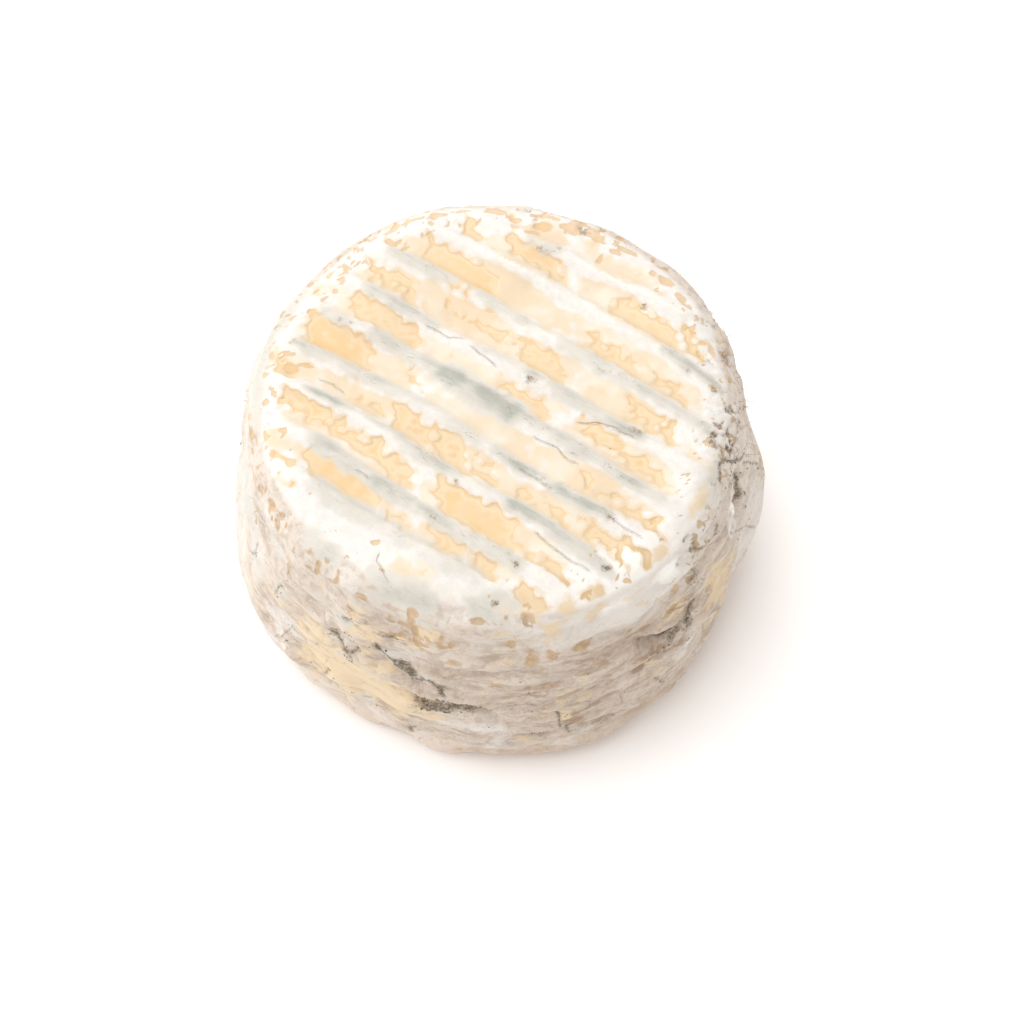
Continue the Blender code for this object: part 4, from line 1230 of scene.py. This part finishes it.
    # Brown lines of painted shade along the bottoms of the creases.
    creased = times(tree, thin_line(tree, at["crease"], 0.015, 0.075), rise(tree, blotches, 0.42, 0.60))
    puckered = times(tree, thin_line(tree, at["pucker"], 0.02, 0.12), rise(tree, mottle, 0.45, 0.62))
    crease_shade = times(tree, chained(tree, "MAXIMUM", (creased, puckered)), rise(tree, level, 45.0, 38.0), 0.28)
    specks = stretched_noise(tree, (0.7, 0.7, 0.42), 3.0, 0.75, 0.4)
    dark = plus(tree, at["dark"], rise(tree, specks, 0.32, 0.66, -0.50, 0.22))
    brown = times(tree, rise(tree, dark, 0.0, 0.30), rise(tree, at["dark"], 0.10, 0.5, 0.0, 0.5))
    shred = blend(tree, rise(tree, tone, 0.4, 0.6), colours.side_white, colours.bloom)
    colour = layered(
        tree, top,
        (rise(tree, side, 0.15, 0.85), side_colour),
        (times(tree, rise(tree, side_bare, 0.26, 0.70), 0.85), colours.side_paste),
        # Less grey mould under the painted highlight.
        (times(tree, is_mould, rise(tree, at["painted_highlight"], 0.0, 1.0, 1.0, 0.6)), mould_colour),
        (times(tree, rise(tree, at["torn"], 0.2, 0.8), 0.6), shred),
        (times(tree, rise(tree, stain, 0.24, 0.50), 0.72), stain_colour),
        (crease_shade, colours.crack),
        (crack, colours.crack),
        (rise(tree, at["dark"], 0.04, 0.7, 0.0, 0.5), colours.mould_halo),
        (brown, colours.crack),
        (times(tree, rise(tree, dark, 0.20, 0.80), 0.85), colours.dark_mould),
    )
    tree.links.new(colour, shader.inputs["Base Color"])

    glossy = times(tree, is_bare, minus(tree, 1.0, is_mould))
    tree.links.new(rise(tree, glossy, 0.0, 1.0, 0.86, 0.42), shader.inputs["Roughness"])
    height = plus(
        tree,
        times(tree, grain.outputs["Height"], rise(tree, at["bare"], -0.1, 0.2, 0.09, 0.03)),
        times(tree, fibres, rise(tree, at["mould"], 0.14, 0.48, 0.0, 0.07)),
        times(tree, side, plus(tree, times(tree, streaks, 0.22), times(tree, middle, 0.12))),
    )
    split = times(tree, thin_line(tree, at["from_seam"], 0.02, 0.24), at["seam"], 0.3)
    height = minus(tree, height, split, rise(tree, at["stain"], 0.3, 0.6, 0.0, 0.06))
    add_bump(tree, shader, height, 0.8, MM)
    for name, value in RIND_SHADER.items():
        shader.inputs[name].default_value = value
    return material


def linear_colour(name, description, red, green, blue):
    """A colour property whose default is given as a screen shows it."""
    return FloatVectorProperty(
        name=name, description=description, subtype="COLOR", size=3, min=0.0, max=1.0,
        default=from_screen(red, green, blue),
    )


class CheeseColours(bpy.types.PropertyGroup):
    """The rind's colours."""

    bloom: linear_colour("Bloom", "White mould of the top", 214, 212, 208)
    bloom_shade: linear_colour("Bloom shade", "Hollows of the white mould", 207, 203, 196)
    film: linear_colour("Film", "Thin cream film between bloom and paste", 210, 202, 186)
    film_peach: linear_colour("Film, deep", "Thin film where the paste shines through", 207, 189, 163)
    paste: linear_colour("Paste", "Bare paste in the windows", 207, 177, 132)
    paste_peach: linear_colour("Paste, pale", "Paler bare paste", 208, 188, 156)
    paste_edge: linear_colour("Paste edge", "Paste along the bloom's edge", 200, 168, 122)
    mould: linear_colour("Mould", "Grey mould of the ridges", 197, 193, 184)
    mould_deep: linear_colour("Mould, deep", "Grey-blue mould where it is thickest", 162, 163, 154)
    side: linear_colour("Side", "Velvet of the side", 196, 184, 171)
    side_shade: linear_colour("Side shade", "Hollows of the side's velvet", 166, 149, 133)
    side_white: linear_colour("Side white", "White velvet of the side", 205, 197, 187)
    # Side bloom is also the painted highlight of the front-right shoulder's side.
    side_bloom_and_highlight: linear_colour("Side bloom", "White mould along the side's lips", 212, 208, 202)
    # Lip: the fold's lip whitened past its mould as painted highlight, and the painted highlight of the
    # front-right shoulder's top.
    lip: linear_colour("Lip", "Thick white mould of the right shoulder's lip", 238, 236, 231)
    # Foot: painted warm contact shade near the floor.
    foot: linear_colour("Foot", "Warm velvet near the floor", 210, 178, 148)
    side_paste: linear_colour("Side paste", "Tan paste under the side's thin rind", 212, 192, 160)
    stain: linear_colour("Stain", "Tan and brown stains", 170, 140, 98)
    stain_edge: linear_colour("Stain edge", "Paler parts of a stain", 190, 160, 120)
    # Crack also paints the brown shade along the creases.
    crack: linear_colour("Crack", "Inside of cracks and folds", 150, 122, 94)
    mould_halo: linear_colour("Mould halo", "Grey-green mould round the dark", 140, 136, 122)
    dark_mould: linear_colour("Dark mould", "Grey-green mould in the folds", 82, 81, 70)


class CheeseScatter(bpy.types.PropertyGroup):
    """How many scattered pieces there are."""

    curls: IntProperty(
        name="Curls", description="Curled shreds of rind at each torn place", default=14, min=1, max=60,
    )
    tufts: IntProperty(
        name="Tufts", description="Dark tufts for each millimetre of a wide seam", default=9, min=1, max=60,
    )


class CheeseStage(bpy.types.PropertyGroup):
    """The floor, the lights and the camera."""

    elevation: FloatProperty(
        name="Elevation", description="Camera's height above the horizon",
        default=math.radians(60.0), subtype="ANGLE",
    )
    distance: FloatProperty(
        name="Distance", description="From the camera to its aim", default=0.5307, unit="LENGTH",
    )
    view_angle: FloatProperty(
        name="View angle", description="Camera's field of view",
        default=math.radians(20.0), subtype="ANGLE",
    )
    aim_right: FloatProperty(
        name="Aim right", description="How far right of the wheel's foot the camera aims",
        default=0.00238, unit="LENGTH",
    )
    aim_up: FloatProperty(
        name="Aim up", description="How far above the wheel's foot the camera aims, in its view",
        default=0.00512, unit="LENGTH",
    )
    key_power: FloatProperty(
        name="Key light", description="Power of the large soft light", default=40.0, min=0.0, unit="POWER",
    )
    fill_strength: FloatProperty(
        name="Fill", description="Strength of the light from all round", default=0.88, min=0.0,
    )
    key_colour: linear_colour("Key colour", "Colour of the large soft light", 250, 252, 255)
    fill_colour: linear_colour("Fill colour", "Colour of the light from all round", 255, 249, 244)
    floor_colour: linear_colour("Floor", "Colour of the floor", 248, 248, 248)


def own_piece(piece, material):
    """Gives a piece its material and its place in the frame's table."""
    piece.data.materials.append(material)
    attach(piece, "root")


class CHEESE_OT_wheel(bpy.types.Operator):
    """Make the wheel's fine surface in place of its solid"""

    bl_idname = "cheese.wheel"
    bl_label = "Wheel"

    def execute(self, context):
        points, quads, triangles, fields = shaped_wheel()
        wheel = new_mesh("wheel_rind", points, (quads, triangles), fields)
        own_piece(wheel, rind_material(context.scene.cheese_colours))
        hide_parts("cheese_wheel")
        return {"FINISHED"}


def mould_material(name, colour, shade):
    """A scattered piece's velvety mould: two tones over the same grain as the rind's."""
    material, tree, shader = new_material(name, 0.85)
    grain = velvet(tree, millimetres(tree), 5.0, 1.6)
    tone = blend(tree, rise(tree, grain.outputs["Tone"], 0.35, 0.65), shade, colour)
    tree.links.new(tone, shader.inputs["Base Color"])
    add_bump(tree, shader, grain.outputs["Height"], 0.7, 0.2 * MM)
    return material


def scattered(places, each, spread, draw):
    """Azimuths and heights scattered about given places, more of them where a place is stronger."""
    centres = np.array([(place[0], place[1]) for place in places])
    counts = np.maximum(1, (each * np.array([place[-1] for place in places])).astype(int))
    centres = np.repeat(centres, counts, axis=0)
    reach = np.repeat(np.array([place[2] for place in places]), counts)
    offsets = draw.normal(size=centres.shape) * spread * reach[:, None]
    azimuths = centres[:, 0] + np.degrees(offsets[:, 0] / WIDEST_RADIUS)
    return azimuths, np.clip(centres[:, 1] + 0.8 * offsets[:, 1], 1.0, HEIGHT - 0.6)


class CHEESE_OT_curls(bpy.types.Operator):
    """Add curled shreds of rind where it is torn"""

    bl_idname = "cheese.curls"
    bl_label = "Rind Curls"

    def execute(self, context):
        draw = np.random.default_rng(211)
        azimuths, heights = scattered(CURL_PLACES, context.scene.cheese_scatter.curls, 0.6, draw)
        places, along, across, normals = on_wheel(azimuths, heights, draw)
        share = np.linspace(0.0, 1.0, 15)
        count = len(places)
        reach = draw.uniform(0.25, 0.7, (count, 1)) * MM
        angle = draw.uniform(1.2, 4.2, (count, 1)) * (share - 0.5)
        winding = 1.0 + 0.35 * np.sin(5.0 * share + draw.uniform(0.0, 6.0, (count, 1)))
        forward = (reach * winding * np.sin(angle))[..., None] * along[:, None]
        sideways = (reach * winding * (1.0 - np.cos(angle)))[..., None] * across[:, None]
        lift = (0.09 * MM * np.sin(np.pi * share) - 0.09 * MM)[:, None] * normals[:, None]
        spines = places[:, None] + forward + sideways + lift
        runs = np.gradient(spines, axis=1)
        runs /= np.linalg.norm(runs, axis=2)[..., None]
        ups = np.broadcast_to(normals[:, None], runs.shape)
        widths = draw.uniform(0.10, 0.19, (count, 1)) * MM * np.sin(np.pi * share) ** 0.6 * winding
        curls = capped_bodies("rind_curls", spines, np.cross(ups, runs), ups, widths, 0.8 * widths, 10)
        colours = context.scene.cheese_colours
        own_piece(curls, mould_material("rind_curl", colours.side_white, colours.side))
        return {"FINISHED"}


def along_seams(each, draw):
    """Azimuths and heights scattered along the side's seams, so many for each millimetre and strength."""
    azimuths, heights = [], []
    for width, strength, places in SIDE_SEAMS:
        run = np.array(places)
        steps = np.hypot(np.radians(np.diff(run[:, 0])) * WIDEST_RADIUS, np.diff(run[:, 1]))
        length = np.concatenate(((0.0,), np.cumsum(steps)))
        spread = draw.normal(size=(int(each * strength**2 * width * length[-1]), 2)) * 0.6 * width
        place = draw.uniform(0.0, length[-1], len(spread))
        azimuths.append(np.interp(place, length, run[:, 0]) + np.degrees(spread[:, 0] / WIDEST_RADIUS))
        heights.append(np.interp(place, length, run[:, 1]) + spread[:, 1])
    return np.concatenate(azimuths), np.clip(np.concatenate(heights), 1.0, HEIGHT - 0.4)


class CHEESE_OT_tufts(bpy.types.Operator):
    """Add dark tufts of mould in the folds"""

    bl_idname = "cheese.tufts"
    bl_label = "Mould Tufts"

    def execute(self, context):
        draw = np.random.default_rng(223)
        azimuths, heights = along_seams(context.scene.cheese_scatter.tufts, draw)
        places, along, across, normals = on_wheel(azimuths, heights, draw)
        share = np.linspace(0.0, 1.0, 7)
        count = len(places)
        size = draw.uniform(0.05, 0.15, (count, 1)) * MM
        forward = (size * 1.7 * (2.0 * share - 1.0))[..., None] * along[:, None]
        spines = places[:, None] + forward - (0.25 * size)[..., None] * normals[:, None]
        knobs = 1.0 + 0.3 * np.sin(9.0 * share + draw.uniform(0.0, 6.0, (count, 1)))
        widths = size * np.sqrt(np.sin(np.pi * share)) * knobs
        shape = (count, len(share), 3)
        sides, ups = np.broadcast_to(-across[:, None], shape), np.broadcast_to(normals[:, None], shape)
        tufts = capped_bodies("mould_tufts", spines, sides, ups, widths, 0.7 * widths, 8)
        colours = context.scene.cheese_colours
        own_piece(tufts, mould_material("mould_tuft", colours.mould_halo, colours.dark_mould))
        return {"FINISHED"}


class CHEESE_OT_hairs(bpy.types.Operator):
    """Add a few stray hairs of mould round the shoulder"""

    bl_idname = "cheese.hairs"
    bl_label = "Mould Hairs"

    def execute(self, context):
        draw = np.random.default_rng(227)
        azimuths, heights = scattered(HAIR_PLACES, 1.0, 0.5, draw)
        places, along, across, normals = on_wheel(azimuths, heights, draw)
        share = np.linspace(0.0, 1.0, 12)
        count = len(places)
        length = draw.uniform(0.8, 2.6, (count, 1)) * MM
        bend = draw.uniform(0.2, 0.9, (count, 1)) * length
        spines = places[:, None] + ((length * share)[..., None] - 0.1 * MM) * normals[:, None]
        spines = spines + (bend * share**2)[..., None] * along[:, None]
        spines = spines + (0.12 * length * np.sin(6.0 * share))[..., None] * across[:, None]
        shape = (count, len(share), 3)
        radius = draw.uniform(0.035, 0.055, (count, 1)) * MM * (1.0 - 0.7 * share)
        sides, ups = np.broadcast_to(along[:, None], shape), np.broadcast_to(across[:, None], shape)
        hairs = capped_bodies("mould_hairs", spines, sides, ups, radius, radius, 6)
        colours = context.scene.cheese_colours
        own_piece(hairs, mould_material("mould_hair", colours.stain, colours.crack))
        return {"FINISHED"}


def area_light(name, place, aim, size, power, colour):
    """A square soft light at a place, aimed at a point."""
    light = bpy.data.lights.new(name, "AREA")
    light.shape = "SQUARE"
    light.size = size
    light.energy = power
    light.color = colour
    lamp = bpy.data.objects.new(name, light)
    lamp.location = place
    lamp.rotation_euler = (Vector(aim) - Vector(place)).to_track_quat("-Z", "Y").to_euler()
    bpy.context.scene.collection.objects.link(lamp)
    return lamp


class CHEESE_OT_stage(bpy.types.Operator):
    """Make the pale floor, the soft light and the camera"""

    bl_idname = "cheese.stage"
    bl_label = "Stage"

    def execute(self, context):
        settings = context.scene.cheese_stage
        material, _, shader = new_material("floor", 0.9)
        shader.inputs["Base Color"].default_value = (*settings.floor_colour, 1.0)
        shader.inputs["Specular IOR Level"].default_value = 0.1
        half = FLOOR_HALF
        corners = np.array(((-half, -half, 0.0), (half, -half, 0.0), (half, half, 0.0), (-half, half, 0.0)))
        floor = new_mesh("floor", corners, (np.array(((0, 1, 2, 3),)),))
        floor.data.materials.append(material)

        area_light("key_light", KEY_PLACE, KEY_AIM, KEY_SIZE, settings.key_power, settings.key_colour)
        world = bpy.data.worlds.new("studio")
        world.use_nodes = True
        background = world.node_tree.nodes["Background"]
        background.inputs["Color"].default_value = (*settings.fill_colour, 1.0)
        background.inputs["Strength"].default_value = settings.fill_strength
        context.scene.world = world
        context.scene.view_settings.view_transform = "Standard"

        camera = bpy.data.cameras.new("camera")
        camera.angle = settings.view_angle
        camera.clip_start = NEAR_CLIP
        eye = bpy.data.objects.new("camera", camera)
        tilt = settings.elevation
        back = Vector((0.0, -math.cos(tilt), math.sin(tilt)))
        up = Vector((0.0, math.sin(tilt), math.cos(tilt)))
        aim = up * settings.aim_up + Vector((settings.aim_right, 0.0, 0.0))
        eye.location = back * settings.distance + aim
        eye.rotation_euler = (math.pi / 2 - tilt, 0.0, 0.0)
        context.scene.collection.objects.link(eye)
        context.scene.camera = eye
        return {"FINISHED"}


class CHEESE_PT_panel(bpy.types.Panel):
    """The pieces, the stage and their settings"""

    bl_label = "Cheese Wheel"
    bl_idname = "CHEESE_PT_panel"
    bl_space_type = "VIEW_3D"
    bl_region_type = "UI"
    bl_category = "Cheese"

    def draw(self, context):
        for operator in OPERATORS:
            self.layout.operator(operator.bl_idname)
        scene = context.scene
        for group in (scene.cheese_colours, scene.cheese_scatter, scene.cheese_stage):
            box = self.layout.box()
            for name in group.bl_rna.properties.keys():
                if name not in {"rna_type", "name"}:
                    box.prop(group, name)


OPERATORS = (CHEESE_OT_wheel, CHEESE_OT_curls, CHEESE_OT_tufts, CHEESE_OT_hairs, CHEESE_OT_stage)
CLASSES = (CheeseColours, CheeseScatter, CheeseStage, *OPERATORS, CHEESE_PT_panel)


def register():
    """Registers the classes and puts their settings on the scene."""
    for own_class in CLASSES:
        bpy.utils.register_class(own_class)
    bpy.types.Scene.cheese_colours = PointerProperty(type=CheeseColours)
    bpy.types.Scene.cheese_scatter = PointerProperty(type=CheeseScatter)
    bpy.types.Scene.cheese_stage = PointerProperty(type=CheeseStage)


def unregister():
    """Takes the settings and the classes away again."""
    del bpy.types.Scene.cheese_stage
    del bpy.types.Scene.cheese_scatter
    del bpy.types.Scene.cheese_colours
    for own_class in reversed(CLASSES):
        bpy.utils.unregister_class(own_class)


def main():
    """Makes every piece and the stage."""
    register()
    bpy.ops.cheese.wheel()
    bpy.ops.cheese.curls()
    bpy.ops.cheese.tufts()
    bpy.ops.cheese.hairs()
    bpy.ops.cheese.stage()


if __name__ == "__main__":
    main()
